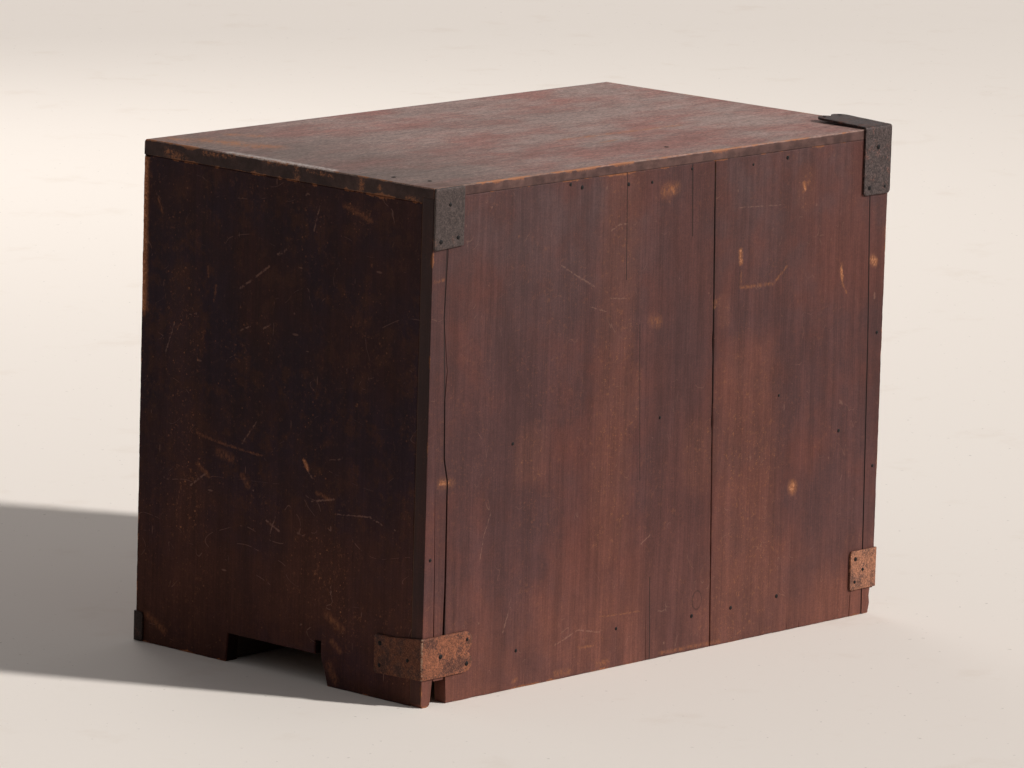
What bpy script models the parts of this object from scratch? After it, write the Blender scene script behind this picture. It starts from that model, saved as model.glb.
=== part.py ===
"""A small Japanese tansu chest: a plank carcass with two wide drawers, two small ones and a door.

Metres, +Z up. The drawer fronts face -Y and the nailed back faces +Y. The chest stands at Z = 0,
and the middle of its outer box, with its pulls and irons, is at X = 0 and Y = 0.
"""

import math

import bmesh
import bpy
from mathutils import Vector

# Fit between pieces
FIT = 0.0003
OVERRUN = 0.010

# Carcass
CHEST_WIDTH = 0.606
CHEST_DEPTH = 0.354
CHEST_HEIGHT = 0.455
TOP_THICKNESS = 0.014
TOP_LIP_THICKNESS = 0.009
SIDE_THICKNESS = 0.015
BACK_THICKNESS = 0.013
BOTTOM_THICKNESS = 0.013
MIDDLE_SHELF_THICKNESS = 0.013
THIN_SHELF_THICKNESS = 0.011
DIVIDER_THICKNESS = 0.016
HOUSING_DEPTH = 0.004
BOTTOM_HEIGHT = 0.027
LOWER_BAY_HEIGHT = 0.1735
TOP_DRAWER_OPENING_HEIGHT = 0.096
DOOR_OPENING_WIDTH = 0.236

# Foot notch in each side board, from the front
FRONT_FOOT_WIDTH = 0.114
REAR_FOOT_WIDTH = 0.122
NOTCH_HEIGHT = 0.026
NOTCH_LEAN = 0.0025
FOOT_CHIP_WIDTH = 0.009
OVERCUT_WIDTH = 0.0077
OVERCUT_HEIGHT = 0.0125
SHRINK_GAP_HEIGHT = 0.0015
SHRINK_GAP_DEPTH = 0.008

# Rail between the front feet
BASE_RAIL_THICKNESS = 0.015
BASE_RAIL_FOOT_WIDTH = 0.092
BASE_RAIL_NOTCH_HEIGHT = 0.015
BASE_RAIL_NOTCH_RADIUS = 0.011

# Board across the chest behind the front feet
STRETCHER_THICKNESS = 0.015
STRETCHER_INSET = 0.002
STRETCHER_LIFT = 0.001

# Back boards: the joint, the drying cracks and the broken foot of the right strip
JOINT_GAP_TOP = 0.0004
JOINT_GAP_FOOT = 0.0012
MAIN_JOINT_TOP_X = -0.061
MAIN_JOINT_FOOT_X = -0.0755
CRACK_GAP_FOOT = 0.0032
LEFT_CRACK_GAP_FOOT = 0.0012
SLIVER_CRACK_GAP = 0.0016
SLIVER_FOOT_HEIGHT = 0.022
SLIVER_CRACK_HEIGHT = 0.244
STRIP_FOOT_ROUNDING = 0.004
CHIP_HEIGHT = 0.0235
CHIP_WIDTH = 0.0065

# Drawers
DRAWER_SIDE_GAP = 0.0012
DRAWER_TOP_GAP = 0.0018
DRAWER_BACK_GAP = 0.0008
DRAWER_FRONT_THICKNESS = 0.016
DRAWER_LAP_THICKNESS = 0.006
DRAWER_SIDE_THICKNESS = 0.009
DRAWER_BACK_THICKNESS = 0.009
DRAWER_BOTTOM_THICKNESS = 0.006
DRAWER_SIDE_DROP = 0.004
GROOVE_HEIGHT = 0.005
GROOVE_DEPTH = 0.004
FINGER_PITCH = 0.019

# Bail pulls
WIRE_RADIUS = 0.0011
PIN_LEG_SPREAD = 0.0075
BAIL_END_RADIUS = 0.0021
BAIL_GRIP_RADIUS = 0.0029
BAIL_SPAN = 0.076
BAIL_DROP = 0.034
BAIL_SHOULDER_RADIUS = 0.005
BAIL_PIN_LENGTH = 0.0035
BAIL_SQUARENESS = 2.8
PULL_PLATE_MARGIN = 0.013
PULL_PLATE_HEIGHT = 0.025
PULL_PLATE_THICKNESS = 0.0012
WIDE_PULL_SPACING = 0.290

# Door, its hinges, ring and lock
DOOR_THICKNESS = 0.015
DOOR_GAP = 0.0015
DOOR_REBATE = 0.006
LEAF_THICKNESS = 0.0016
BARREL_RADIUS = 0.003
HINGE_PIN_RADIUS = 0.0014
HINGE_HEIGHT = 0.034
HINGE_KNUCKLES = 3
HINGE_INSET = 0.020
CASE_LEAF_WIDTH = 0.010
DOOR_LEAF_WIDTH = 0.052
LOCK_PLATE_WIDTH = 0.042
LOCK_PLATE_HEIGHT = 0.064
LOCK_PLATE_INSET = 0.007
RING_RADIUS = 0.0135
RING_WIRE_RADIUS = 0.0016
RING_DROP = 0.004
KEYHOLE_RISE = 0.017
KEYHOLE_RADIUS = 0.0032
KEYHOLE_SLOT_WIDTH = 0.0026
KEYHOLE_SLOT_HEIGHT = 0.008
BOLT_LENGTH = 0.026
BOLT_HEIGHT = 0.011
BOLT_THICKNESS = 0.005
BOLT_TRAVEL = 0.007
BOLT_REST_INSET = 0.0005

# Wrought irons on the corners
STRAP_THICKNESS = 0.002
STRAP_WIDTH = 0.0365
STRAP_LEG_LENGTH = 0.062
STRAP_SIDE_LEG_LENGTH = 0.056
STRAP_SHORT_LEG_LENGTH = 0.0365
STRAP_FOOT_HEIGHT = 0.025
STRAP_WAIST_WIDTH = 0.034
STRAP_TAIL_WIDTH = 0.0345
STRAP_TAIL_DROP = 0.002
STRAP_CORNER_CUT = 0.002
LOBE_NOTCH_SHARE = 0.72
TOP_STRAP_LIFT = 0.0025
TOP_PLATE_HEIGHT = 0.054
TOP_PLATE_SLANT = 0.002
NAIL_HOLE_RADIUS = 0.0014
NAIL_INSET = 0.0075
FAR_NAIL_INSET = 0.041
FRONT_IRON_THICKNESS = 0.0015
FOOT_IRON_SIDE_LEG = 0.011
FOOT_IRON_FRONT_LEG = 0.045
FOOT_IRON_HEIGHT = 0.0265
FOOT_IRON_LIFT = 0.0005
CORNER_PLATE_LEG = 0.042
CORNER_PLATE_INSET = 0.0025
CORNER_PLATE_DROP = 0.004
CORNER_PLATE_TOP_WIDTH = 0.009
CORNER_PLATE_SIDE_WIDTH = 0.011

# Shares of the lengths above
PULL_RISE_SHARE = 1 / 3
STRAP_WAIST_SHARE = 0.6
TOP_STRAP_NAIL_SHARE = 0.72
CRACK_TAPER_POWER = 1.2

# Facets of the round shapes
SMOOTH_ANGLE_DEG = 40
ROUNDING_STEPS = 3
LOBE_STEPS = 5
LOBE_TURN_DEG = 50
EYE_STEPS = 9
RING_STEPS = 20
BAIL_STEPS = 8
BAIL_SIDES = 8
WIRE_SIDES = 6
HOLE_SIDES = 8
CYLINDER_SIDES = 12
BEND_STEPS = 4

# Worked out from the sizes above
EYE_RADIUS = BAIL_END_RADIUS + FIT + WIRE_RADIUS
RING_EYE_RADIUS = RING_WIRE_RADIUS + FIT + WIRE_RADIUS
PIN_LEG_OFFSET = WIRE_RADIUS + FIT / 2
PIN_HOLE_RADIUS = PIN_LEG_OFFSET + WIRE_RADIUS + FIT
EYE_STANDOFF = 2 * FIT + PULL_PLATE_THICKNESS + EYE_RADIUS + WIRE_RADIUS
FRONT_PROJECTION = EYE_STANDOFF + EYE_RADIUS + WIRE_RADIUS
REAR_PROJECTION = FIT + STRAP_THICKNESS
FRONT_Y = (FRONT_PROJECTION - REAR_PROJECTION - CHEST_DEPTH) / 2
BACK_Y = FRONT_Y + CHEST_DEPTH
BACK_INNER_Y = BACK_Y - BACK_THICKNESS
SIDE_X = CHEST_WIDTH / 2
INNER_X = SIDE_X - SIDE_THICKNESS
TOP_UNDERSIDE = CHEST_HEIGHT - TOP_THICKNESS
BACK_TOP = CHEST_HEIGHT - TOP_LIP_THICKNESS - FIT
BOTTOM_TOP = BOTTOM_HEIGHT + BOTTOM_THICKNESS
MIDDLE_SHELF_LOW = BOTTOM_TOP + LOWER_BAY_HEIGHT
MIDDLE_SHELF_TOP = MIDDLE_SHELF_LOW + MIDDLE_SHELF_THICKNESS
UPPER_SHELF_TOP = TOP_UNDERSIDE - TOP_DRAWER_OPENING_HEIGHT
UPPER_SHELF_LOW = UPPER_SHELF_TOP - THIN_SHELF_THICKNESS
LOWER_SHELF_LOW = BOTTOM_TOP + (LOWER_BAY_HEIGHT - THIN_SHELF_THICKNESS) / 2
LOWER_SHELF_TOP = LOWER_SHELF_LOW + THIN_SHELF_THICKNESS
DIVIDER_RIGHT_X = INNER_X - DOOR_OPENING_WIDTH
DIVIDER_LEFT_X = DIVIDER_RIGHT_X - DIVIDER_THICKNESS
SHELF_BACK_Y = BACK_INNER_Y - FIT
BEND_RADIUS = 2 * FIT
DOOR_LEFT_X = DIVIDER_RIGHT_X - DOOR_REBATE + DOOR_GAP
DOOR_RIGHT_X = INNER_X - DOOR_GAP
DOOR_LOW = BOTTOM_TOP + DOOR_GAP
DOOR_HIGH = MIDDLE_SHELF_LOW - DOOR_GAP
DOOR_MIDDLE_Z = (DOOR_LOW + DOOR_HIGH) / 2
HINGE_X = INNER_X - DOOR_GAP / 2
HINGE_Y = FRONT_Y - FIT - BARREL_RADIUS
LOCK_X = DOOR_LEFT_X + LOCK_PLATE_INSET + LOCK_PLATE_WIDTH / 2
RING_Z = DOOR_MIDDLE_Z - RING_DROP
RING_EYE_Y = FRONT_Y - 2 * FIT - LEAF_THICKNESS - RING_EYE_RADIUS - WIRE_RADIUS
KEYHOLE_Z = DOOR_MIDDLE_Z + KEYHOLE_RISE


def clear_scene():
    for obj in list(bpy.data.objects):
        bpy.data.objects.remove(obj, do_unlink=True)


def make_material(name, colour, roughness, metallic):
    material = bpy.data.materials.new(name)
    material.use_nodes = True
    shader = material.node_tree.nodes["Principled BSDF"]
    shader.inputs["Base Color"].default_value = (*colour, 1)
    shader.inputs["Roughness"].default_value = roughness
    shader.inputs["Metallic"].default_value = metallic
    material.diffuse_color = (*colour, 1)
    return material


def world_origin(obj):
    """The place of an object whose parents are all unturned."""
    place = Vector((0, 0, 0))
    while obj:
        place += obj.location
        obj = obj.parent
    return place


def add_empty(name, origin, parent=None):
    empty = bpy.data.objects.new(name, None)
    bpy.context.collection.objects.link(empty)
    empty.empty_display_size = OVERRUN
    empty.parent = parent
    empty.location = Vector(origin) - world_origin(parent)
    return empty


def add_object(name, shape, material, origin=(0, 0, 0), parent=None):
    """Names a shape drawn in the chest's own coordinates, with its object's origin at `origin`."""
    bmesh.ops.translate(shape, verts=shape.verts, vec=-Vector(origin))
    bmesh.ops.recalc_face_normals(shape, faces=shape.faces)
    mesh = bpy.data.meshes.new(name)
    shape.to_mesh(mesh)
    shape.free()
    if material:
        mesh.materials.append(material)
    obj = bpy.data.objects.new(name, mesh)
    bpy.context.collection.objects.link(obj)
    obj.parent = parent
    obj.location = Vector(origin) - world_origin(parent)
    return obj


def combine(obj, shape, operation):
    """Cuts a shape from an object, or adds it, with a Boolean that stays on the object."""
    helper = add_object(obj.name + "_" + operation.lower(), shape, None, world_origin(obj), obj)
    helper.hide_render = True
    helper.display_type = "WIRE"
    modifier = obj.modifiers.new(operation.title(), "BOOLEAN")
    modifier.operation = operation
    modifier.solver = "EXACT"
    modifier.object = helper
    return obj


def shade_round(obj):
    obj.data.shade_smooth()
    obj.data.set_sharp_from_angle(angle=math.radians(SMOOTH_ANGLE_DEG))
    return obj


def add_box(shape, low, high):
    made = bmesh.ops.create_cube(shape, size=1)["verts"]
    low = Vector(low)
    high = Vector(high)
    bmesh.ops.scale(shape, verts=made, vec=high - low)
    bmesh.ops.translate(shape, verts=made, vec=(low + high) / 2)


def add_prism(shape, outline, axis, low, high):
    """Extrudes an outline along an axis. The outline's two coordinates are the other two axes."""
    def point(place, level):
        values = list(place)
        values.insert("XYZ".index(axis), level)
        return values

    bottom = [shape.verts.new(point(place, low)) for place in outline]
    top = [shape.verts.new(point(place, high)) for place in outline]
    shape.faces.new(bottom)
    shape.faces.new(reversed(top))
    count = len(outline)
    for index in range(count):
        after = (index + 1) % count
        shape.faces.new((bottom[index], bottom[after], top[after], top[index]))


def arc(centre, radius, start, end, steps):
    """Points on an arc, in degrees, ends included."""
    found = []
    for index in range(steps + 1):
        angle = math.radians(start + (end - start) * index / steps)
        found.append((centre[0] + radius * math.cos(angle), centre[1] + radius * math.sin(angle)))
    return found


def add_cylinder(shape, axis, centre, radius, low, high, sides=CYLINDER_SIDES):
    circle = arc(centre, radius, 0, 360, sides)[:-1]
    add_prism(shape, circle, axis, low, high)


def add_sweep(shape, path, normal, radii, sides, closed=False):
    """Sweeps a round section along a flat path. `normal` is the direction square to the path."""
    path = [Vector(place) for place in path]
    normal = Vector(normal)
    count = len(path)
    rings = []
    for index, place in enumerate(path):
        if closed:
            before = path[index - 1]
            after = path[(index + 1) % count]
        else:
            before = path[max(index - 1, 0)]
            after = path[min(index + 1, count - 1)]
        across = (after - before).normalized().cross(normal)
        ring = []
        for side in range(sides):
            angle = 2 * math.pi * side / sides
            offset = across * math.cos(angle) + normal * math.sin(angle)
            ring.append(shape.verts.new(place + offset * radii[index]))
        rings.append(ring)
    for index in range(count if closed else count - 1):
        ring = rings[index]
        following = rings[(index + 1) % count]
        for side in range(sides):
            after = (side + 1) % sides
            shape.faces.new((ring[side], ring[after], following[after], following[side]))
    if not closed:
        shape.faces.new(rings[0])
        shape.faces.new(reversed(rings[-1]))


# Carcass boards

def add_top_board(wood):
    """The lid plank, with a rebate along its rear edge that hides the back boards' ends."""
    rebate_y = BACK_INNER_Y - FIT
    rebate_z = CHEST_HEIGHT - TOP_LIP_THICKNESS
    outline = [
        (FRONT_Y, TOP_UNDERSIDE),
        (rebate_y, TOP_UNDERSIDE),
        (rebate_y, rebate_z),
        (BACK_Y, rebate_z),
        (BACK_Y, CHEST_HEIGHT),
        (FRONT_Y, CHEST_HEIGHT),
    ]
    shape = bmesh.new()
    add_prism(shape, outline, "X", -SIDE_X, SIDE_X)
    return add_object("top_board", shape, wood)


def side_outline(overcut, shrink_gap):
    """A side board in (Y, Z), with the notch that leaves a front and a rear foot."""
    side_top = TOP_UNDERSIDE - FIT
    front_foot_y = FRONT_Y + FRONT_FOOT_WIDTH
    rear_foot_y = BACK_Y - REAR_FOOT_WIDTH
    outline = [
        (FRONT_Y, 0),
        (front_foot_y, 0),
        (front_foot_y + NOTCH_LEAN, NOTCH_HEIGHT),
    ]
    if overcut:
        outline += [
            (rear_foot_y - OVERCUT_WIDTH, NOTCH_HEIGHT),
            (rear_foot_y - OVERCUT_WIDTH, NOTCH_HEIGHT + OVERCUT_HEIGHT),
            (rear_foot_y, NOTCH_HEIGHT + OVERCUT_HEIGHT),
        ]
    outline += [
        (rear_foot_y, NOTCH_HEIGHT),
        (rear_foot_y + FOOT_CHIP_WIDTH, 0),
        (BACK_INNER_Y - FIT, 0),
        (BACK_INNER_Y - FIT, side_top),
    ]
    if shrink_gap:
        outline += [
            (FRONT_Y + SHRINK_GAP_DEPTH, side_top),
            (FRONT_Y + SHRINK_GAP_DEPTH, side_top - SHRINK_GAP_HEIGHT),
            (FRONT_Y, side_top - SHRINK_GAP_HEIGHT),
        ]
    else:
        outline.append((FRONT_Y, side_top))
    return outline


def add_side_board(name, hand, overcut, shrink_gap, shelf_levels, wood):
    """One side, on the +X side where hand is 1, with a housing for each shelf that it carries."""
    outer = hand * SIDE_X
    inner = hand * INNER_X
    shape = bmesh.new()
    add_prism(shape, side_outline(overcut, shrink_gap), "X", min(outer, inner), max(outer, inner))
    board = add_object(name, shape, wood)
    housings = bmesh.new()
    ends = sorted((inner - hand * OVERRUN, inner + hand * HOUSING_DEPTH))
    for low, high in shelf_levels:
        add_box(
            housings,
            (ends[0], FRONT_Y - OVERRUN, low - FIT),
            (ends[1], BACK_Y + OVERRUN, high + FIT),
        )
    return combine(board, housings, "DIFFERENCE")


def add_shelf(name, left, right, low, high, wood):
    shape = bmesh.new()
    add_box(shape, (left, FRONT_Y, low), (right, SHELF_BACK_Y, high))
    return add_object(name, shape, wood)


def add_shelves(wood):
    """The bottom board, the middle shelf and the two thin shelves under the drawers."""
    housed_x = INNER_X + HOUSING_DEPTH - FIT
    divider_housed_x = DIVIDER_LEFT_X + HOUSING_DEPTH - FIT
    bottom = add_shelf("bottom_board", FIT - INNER_X, INNER_X - FIT, BOTTOM_HEIGHT, BOTTOM_TOP, wood)
    middle = add_shelf("middle_shelf", -housed_x, housed_x, MIDDLE_SHELF_LOW, MIDDLE_SHELF_TOP, wood)
    add_shelf("upper_shelf", -housed_x, housed_x, UPPER_SHELF_LOW, UPPER_SHELF_TOP, wood)
    add_shelf("lower_shelf", -housed_x, divider_housed_x, LOWER_SHELF_LOW, LOWER_SHELF_TOP, wood)
    for board, face, away in ((bottom, BOTTOM_TOP, 1), (middle, MIDDLE_SHELF_LOW, -1)):
        levels = sorted((face - away * HOUSING_DEPTH, face + away * OVERRUN))
        housing = bmesh.new()
        add_box(
            housing,
            (DIVIDER_LEFT_X - FIT, FRONT_Y - OVERRUN, levels[0]),
            (DIVIDER_RIGHT_X + FIT, BACK_Y + OVERRUN, levels[1]),
        )
        combine(board, housing, "DIFFERENCE")


def add_divider(wood):
    """The upright between the small drawers and the door, rebated as the door's stop."""
    low = BOTTOM_TOP - HOUSING_DEPTH + FIT
    high = MIDDLE_SHELF_LOW + HOUSING_DEPTH - FIT
    rebate_y = FRONT_Y + DOOR_THICKNESS + FIT
    outline = [
        (DIVIDER_LEFT_X, FRONT_Y),
        (DIVIDER_RIGHT_X - DOOR_REBATE, FRONT_Y),
        (DIVIDER_RIGHT_X - DOOR_REBATE, rebate_y),
        (DIVIDER_RIGHT_X, rebate_y),
        (DIVIDER_RIGHT_X, SHELF_BACK_Y),
        (DIVIDER_LEFT_X, SHELF_BACK_Y),
    ]
    shape = bmesh.new()
    add_prism(shape, outline, "Z", low, high)
    divider = add_object("lower_divider", shape, wood)
    cuts = bmesh.new()
    add_box(
        cuts,
        (DIVIDER_LEFT_X - OVERRUN, FRONT_Y - OVERRUN, LOWER_SHELF_LOW - FIT),
        (DIVIDER_LEFT_X + HOUSING_DEPTH, BACK_Y + OVERRUN, LOWER_SHELF_TOP + FIT),
    )
    bolt_low, bolt_high = bolt_box()
    reach = BOLT_TRAVEL + FIT
    add_box(
        cuts,
        (bolt_low.x - reach, bolt_low.y - FIT, bolt_low.z - FIT),
        (DIVIDER_RIGHT_X + OVERRUN, bolt_high.y + FIT, bolt_high.z + FIT),
    )
    return combine(divider, cuts, "DIFFERENCE")


def add_base_rail(wood):
    """The low rail between the front feet, arched up in the middle."""
    high = BOTTOM_HEIGHT - FIT
    outer = INNER_X - FIT
    foot = outer - BASE_RAIL_FOOT_WIDTH
    radius = BASE_RAIL_NOTCH_RADIUS
    level = BASE_RAIL_NOTCH_HEIGHT
    outline = [(-outer, 0), (-foot - radius, 0)]
    outline += arc((-foot, level - radius), radius, 180, 90, ROUNDING_STEPS)
    outline += arc((foot, level - radius), radius, 90, 0, ROUNDING_STEPS)
    outline += [(foot + radius, 0), (outer, 0), (outer, high), (-outer, high)]
    shape = bmesh.new()
    add_prism(shape, outline, "Y", FRONT_Y, FRONT_Y + BASE_RAIL_THICKNESS)
    return add_object("base_rail", shape, wood)


def add_foot_stretcher(wood):
    """A plain board that ties the side boards together behind their front feet."""
    reach = INNER_X - FIT
    back_y = FRONT_Y + FRONT_FOOT_WIDTH - STRETCHER_INSET
    shape = bmesh.new()
    add_box(
        shape,
        (-reach, back_y - STRETCHER_THICKNESS, STRETCHER_LIFT),
        (reach, back_y, BOTTOM_HEIGHT - FIT),
    )
    return add_object("foot_stretcher", shape, wood)


# Back boards

def split_points(x, lean, height, gap):
    """A drying crack that opens at the foot of a board: three points of its outline."""
    return [(x - gap / 2, 0), (x + lean, height), (x + gap / 2, 0)]


def crack_side(rows, side):
    """One side of a crack, top to foot, from (X, Z, gap) rows."""
    return [(x + side * gap / 2, z) for x, z, gap in rows]


# Each row is a share of the board's height and, from the side board's inner face towards the
# middle, a share of the side's thickness. The first row is the crack's tip.
RIGHT_CRACK_SHARES = [
    (0.95, 0.25),
    (0.89, 0.30),
    (0.765, 0.10),
    (0.66, 0.49),
    (0.597, 0.33),
    (0.487, 0.43),
    (0.442, 0.74),
    (0.24, 0.80),
    (0.14, 0.75),
    (0.0, 1.0),
]
LEFT_CRACK_SHARES = [
    (0.93, 0.75),
    (0.87, 0.69),
    (0.58, 0.37),
    (0.39, 0.26),
    (0.0, 0.03),
]
# Each row is a share of the sliver crack's height and a share of the side's thickness, outwards.
SLIVER_CRACK_SHARES = [
    (1.0, 0.37),
    (0.74, 0.24),
    (0.55, 0.155),
    (0.25, 0.06),
]
# Splits in the foot of each board: shares of its width, its height and the widest joint gap.
WIDE_SPLIT_SHARES = [(0.238, 0.008, 0.17, 0.5)]
NARROW_SPLIT_SHARES = [
    (0.085, -0.010, 0.145, 0.8),
    (0.42, 0.002, 0.019, 0.6),
    (0.50, 0.004, 0.023, 0.6),
]
# The broken foot of the left strip: shares of the chip's width, inwards, and of its height.
CHIP_SHARES = [(0.67, 1.0), (0.83, 0.7), (0.67, 0.4), (1.0, 0.0)]


def crack_rows(hand, shares, foot_gap):
    """(X, Z, gap) rows of a long crack that closes towards its tip."""
    tip_share = shares[0][0]
    rows = []
    for height_share, drift_share in shares:
        gap = foot_gap * (1 - height_share / tip_share) ** CRACK_TAPER_POWER
        if height_share < tip_share:
            gap = max(gap, 2 * FIT)
        x = hand * (INNER_X - drift_share * SIDE_THICKNESS)
        rows.append((x, height_share * BACK_TOP, gap))
    return rows


def main_joint_edge(side):
    """The meeting edge of the two planks, top to foot."""
    rows = [(MAIN_JOINT_TOP_X, BACK_TOP, JOINT_GAP_TOP), (MAIN_JOINT_FOOT_X, 0, JOINT_GAP_FOOT)]
    return crack_side(rows, side)


def foot_splits(left, right, shares):
    """The cracks in one board's foot, as outline points from left to right."""
    width = right - left
    points = []
    for place, lean, height, opening in shares:
        points += split_points(
            left + place * width, lean * width, height * BACK_TOP, opening * JOINT_GAP_FOOT
        )
    return points


def sliver_points(crack):
    """The foot of the loose sliver, the crack behind it, and the rounded foot of the strip."""
    above, below = crack[-2:]
    share = (above[1] - SLIVER_FOOT_HEIGHT) / (above[1] - below[1])
    x = above[0] + (below[0] - above[0]) * share
    gap = above[2] + (below[2] - above[2]) * share
    slot = []
    for height_share, drift_share in SLIVER_CRACK_SHARES:
        slot_gap = SLIVER_CRACK_GAP * (1 - height_share)
        height = height_share * SLIVER_CRACK_HEIGHT
        slot.append((INNER_X + drift_share * SIDE_THICKNESS, height, slot_gap))
    foot_x = slot[-1][0]
    slot.append((foot_x, SLIVER_FOOT_HEIGHT, SLIVER_CRACK_GAP))
    points = [(x + gap / 2, SLIVER_FOOT_HEIGHT)]
    points += crack_side(slot, -1)[:0:-1] + crack_side(slot, 1)
    rounding = STRIP_FOOT_ROUNDING
    foot_left = foot_x + SLIVER_CRACK_GAP / 2 + rounding / 2
    points += arc((foot_left + rounding, rounding), rounding, 180, 270, ROUNDING_STEPS)
    return points + [(SIDE_X - rounding / 2, 0), (SIDE_X, rounding), (SIDE_X, BACK_TOP)]


def add_back_board(name, outline, wood):
    shape = bmesh.new()
    add_prism(shape, outline, "Y", BACK_INNER_Y, BACK_Y)
    return add_object(name, shape, wood)


def add_back_boards(wood):
    """Two upright planks, each split along the nails over its side board."""
    crack = crack_rows(1, RIGHT_CRACK_SHARES, CRACK_GAP_FOOT)
    edge = main_joint_edge(1)
    outline = edge + foot_splits(edge[-1][0], INNER_X, WIDE_SPLIT_SHARES)
    outline += crack_side(crack, -1)[:0:-1]
    strip_edge = [place for place in crack_side(crack, 1) if place[1] > SLIVER_FOOT_HEIGHT]
    add_back_board("back_board_wide", outline + strip_edge + sliver_points(crack), wood)

    crack = crack_rows(-1, LEFT_CRACK_SHARES, LEFT_CRACK_GAP_FOOT)
    outline = [(-SIDE_X, BACK_TOP), (-SIDE_X, CHIP_HEIGHT)]
    outline += [(across * CHIP_WIDTH - SIDE_X, up * CHIP_HEIGHT) for across, up in CHIP_SHARES]
    outline += crack_side(crack, -1)[:0:-1] + crack_side(crack, 1)
    edge = main_joint_edge(-1)
    outline += foot_splits(-INNER_X, edge[-1][0], NARROW_SPLIT_SHARES)
    add_back_board("back_board_narrow", outline + edge[::-1], wood)


# Drawers

def finger_levels(low, high, count, first_is_finger):
    """The heights where a comb joint steps between finger and socket, each eased by half the fit."""
    pitch = (high - low) / count
    levels = []
    for index in range(1, count):
        before_is_finger = (index % 2 == 1) == first_is_finger
        levels.append(low + index * pitch + (-FIT / 2 if before_is_finger else FIT / 2))
    return [low] + levels + [high]


def finger_count(height):
    """An odd number of fingers and sockets, so that a joint ends as it starts."""
    return 2 * max(1, round((height / FINGER_PITCH - 1) / 2)) + 1


def comb_edge(levels, first, second):
    """The stepped edge of a comb joint, low to high, in (depth, height) points."""
    points = []
    for index, (low, high) in enumerate(zip(levels, levels[1:])):
        depth = second if index % 2 else first
        points += [(depth, low), (depth, high)]
    return points


class Drawer:
    """The sizes of one drawer, worked out from the opening that it fills."""

    def __init__(self, name, left, right, low, high, pulls):
        self.name = name
        self.left = left + DRAWER_SIDE_GAP
        self.right = right - DRAWER_SIDE_GAP
        self.low = low + FIT
        self.high = high - DRAWER_TOP_GAP
        self.side_high = self.high - DRAWER_SIDE_DROP
        self.back_y = BACK_INNER_Y - DRAWER_BACK_GAP
        self.front_inner_y = FRONT_Y + DRAWER_FRONT_THICKNESS
        self.groove_low = self.low + GROOVE_HEIGHT
        self.groove_high = self.groove_low + DRAWER_BOTTOM_THICKNESS + 2 * FIT
        self.back_low = self.groove_high
        self.front_count = finger_count(self.side_high - self.low)
        self.back_count = finger_count(self.side_high - self.back_low)
        self.pull_z = (self.low + self.high) / 2 + BAIL_DROP * PULL_RISE_SHARE
        self.pulls = pulls
        self.empty = add_empty(name + "_slide", ((left + right) / 2, FRONT_Y, low))


def add_drawer_front(drawer, wood):
    """The front, with blind sockets for the sides' fingers, a groove, and holes for the pins."""
    shape = bmesh.new()
    add_box(
        shape,
        (drawer.left, FRONT_Y, drawer.low),
        (drawer.right, drawer.front_inner_y, drawer.high),
    )
    front = add_object(drawer.name + "_front", shape, wood, drawer.empty.location, drawer.empty)
    sockets = bmesh.new()
    socket_y = FRONT_Y + DRAWER_LAP_THICKNESS
    levels = finger_levels(drawer.low, drawer.side_high, drawer.front_count, True)
    for index in range(1, drawer.front_count, 2):
        for outer, hand in ((drawer.left, -1), (drawer.right, 1)):
            inner = outer - hand * (DRAWER_SIDE_THICKNESS + FIT)
            ends = sorted((inner, outer + hand * OVERRUN))
            add_box(
                sockets,
                (ends[0], socket_y, levels[index]),
                (ends[1], drawer.front_inner_y + OVERRUN, levels[index + 1]),
            )
    combine(front, sockets, "DIFFERENCE")
    reach = DRAWER_SIDE_THICKNESS - GROOVE_DEPTH
    groove = bmesh.new()
    add_box(
        groove,
        (drawer.left + reach, drawer.front_inner_y - GROOVE_DEPTH, drawer.groove_low),
        (drawer.right - reach, drawer.front_inner_y + OVERRUN, drawer.groove_high),
    )
    combine(front, groove, "DIFFERENCE")
    pin_holes = bmesh.new()
    for pull_x in drawer.pulls.values():
        for side in (-1, 1):
            add_cylinder(
                pin_holes,
                "Y",
                (pull_x + side * BAIL_SPAN / 2, drawer.pull_z),
                PIN_HOLE_RADIUS,
                FRONT_Y - OVERRUN,
                drawer.front_inner_y + OVERRUN,
            )
    return combine(front, pin_holes, "DIFFERENCE")


def add_drawer_side(drawer, hand, wood):
    """One side, its fingers in the front's sockets and through the back."""
    front_long = FRONT_Y + DRAWER_LAP_THICKNESS + FIT
    front_short = drawer.front_inner_y + FIT
    back_short = drawer.back_y - DRAWER_BACK_THICKNESS - FIT
    levels = finger_levels(drawer.low, drawer.side_high, drawer.front_count, False)
    front_edge = comb_edge(levels, front_short, front_long)
    levels = finger_levels(drawer.back_low, drawer.side_high, drawer.back_count, False)
    back_edge = [(drawer.back_y, drawer.low), (drawer.back_y, drawer.back_low)]
    back_edge += comb_edge(levels, back_short, drawer.back_y)
    outer = drawer.right if hand > 0 else drawer.left
    inner = outer - hand * DRAWER_SIDE_THICKNESS
    shape = bmesh.new()
    add_prism(shape, back_edge + front_edge[::-1], "X", min(outer, inner), max(outer, inner))
    name = drawer.name + ("_right" if hand > 0 else "_left") + "_side"
    side = add_object(name, shape, wood, drawer.empty.location, drawer.empty)
    groove = bmesh.new()
    ends = sorted((inner - hand * OVERRUN, inner + hand * GROOVE_DEPTH))
    add_box(
        groove,
        (ends[0], FRONT_Y, drawer.groove_low),
        (ends[1], BACK_Y, drawer.groove_high),
    )
    return combine(side, groove, "DIFFERENCE")


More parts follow.
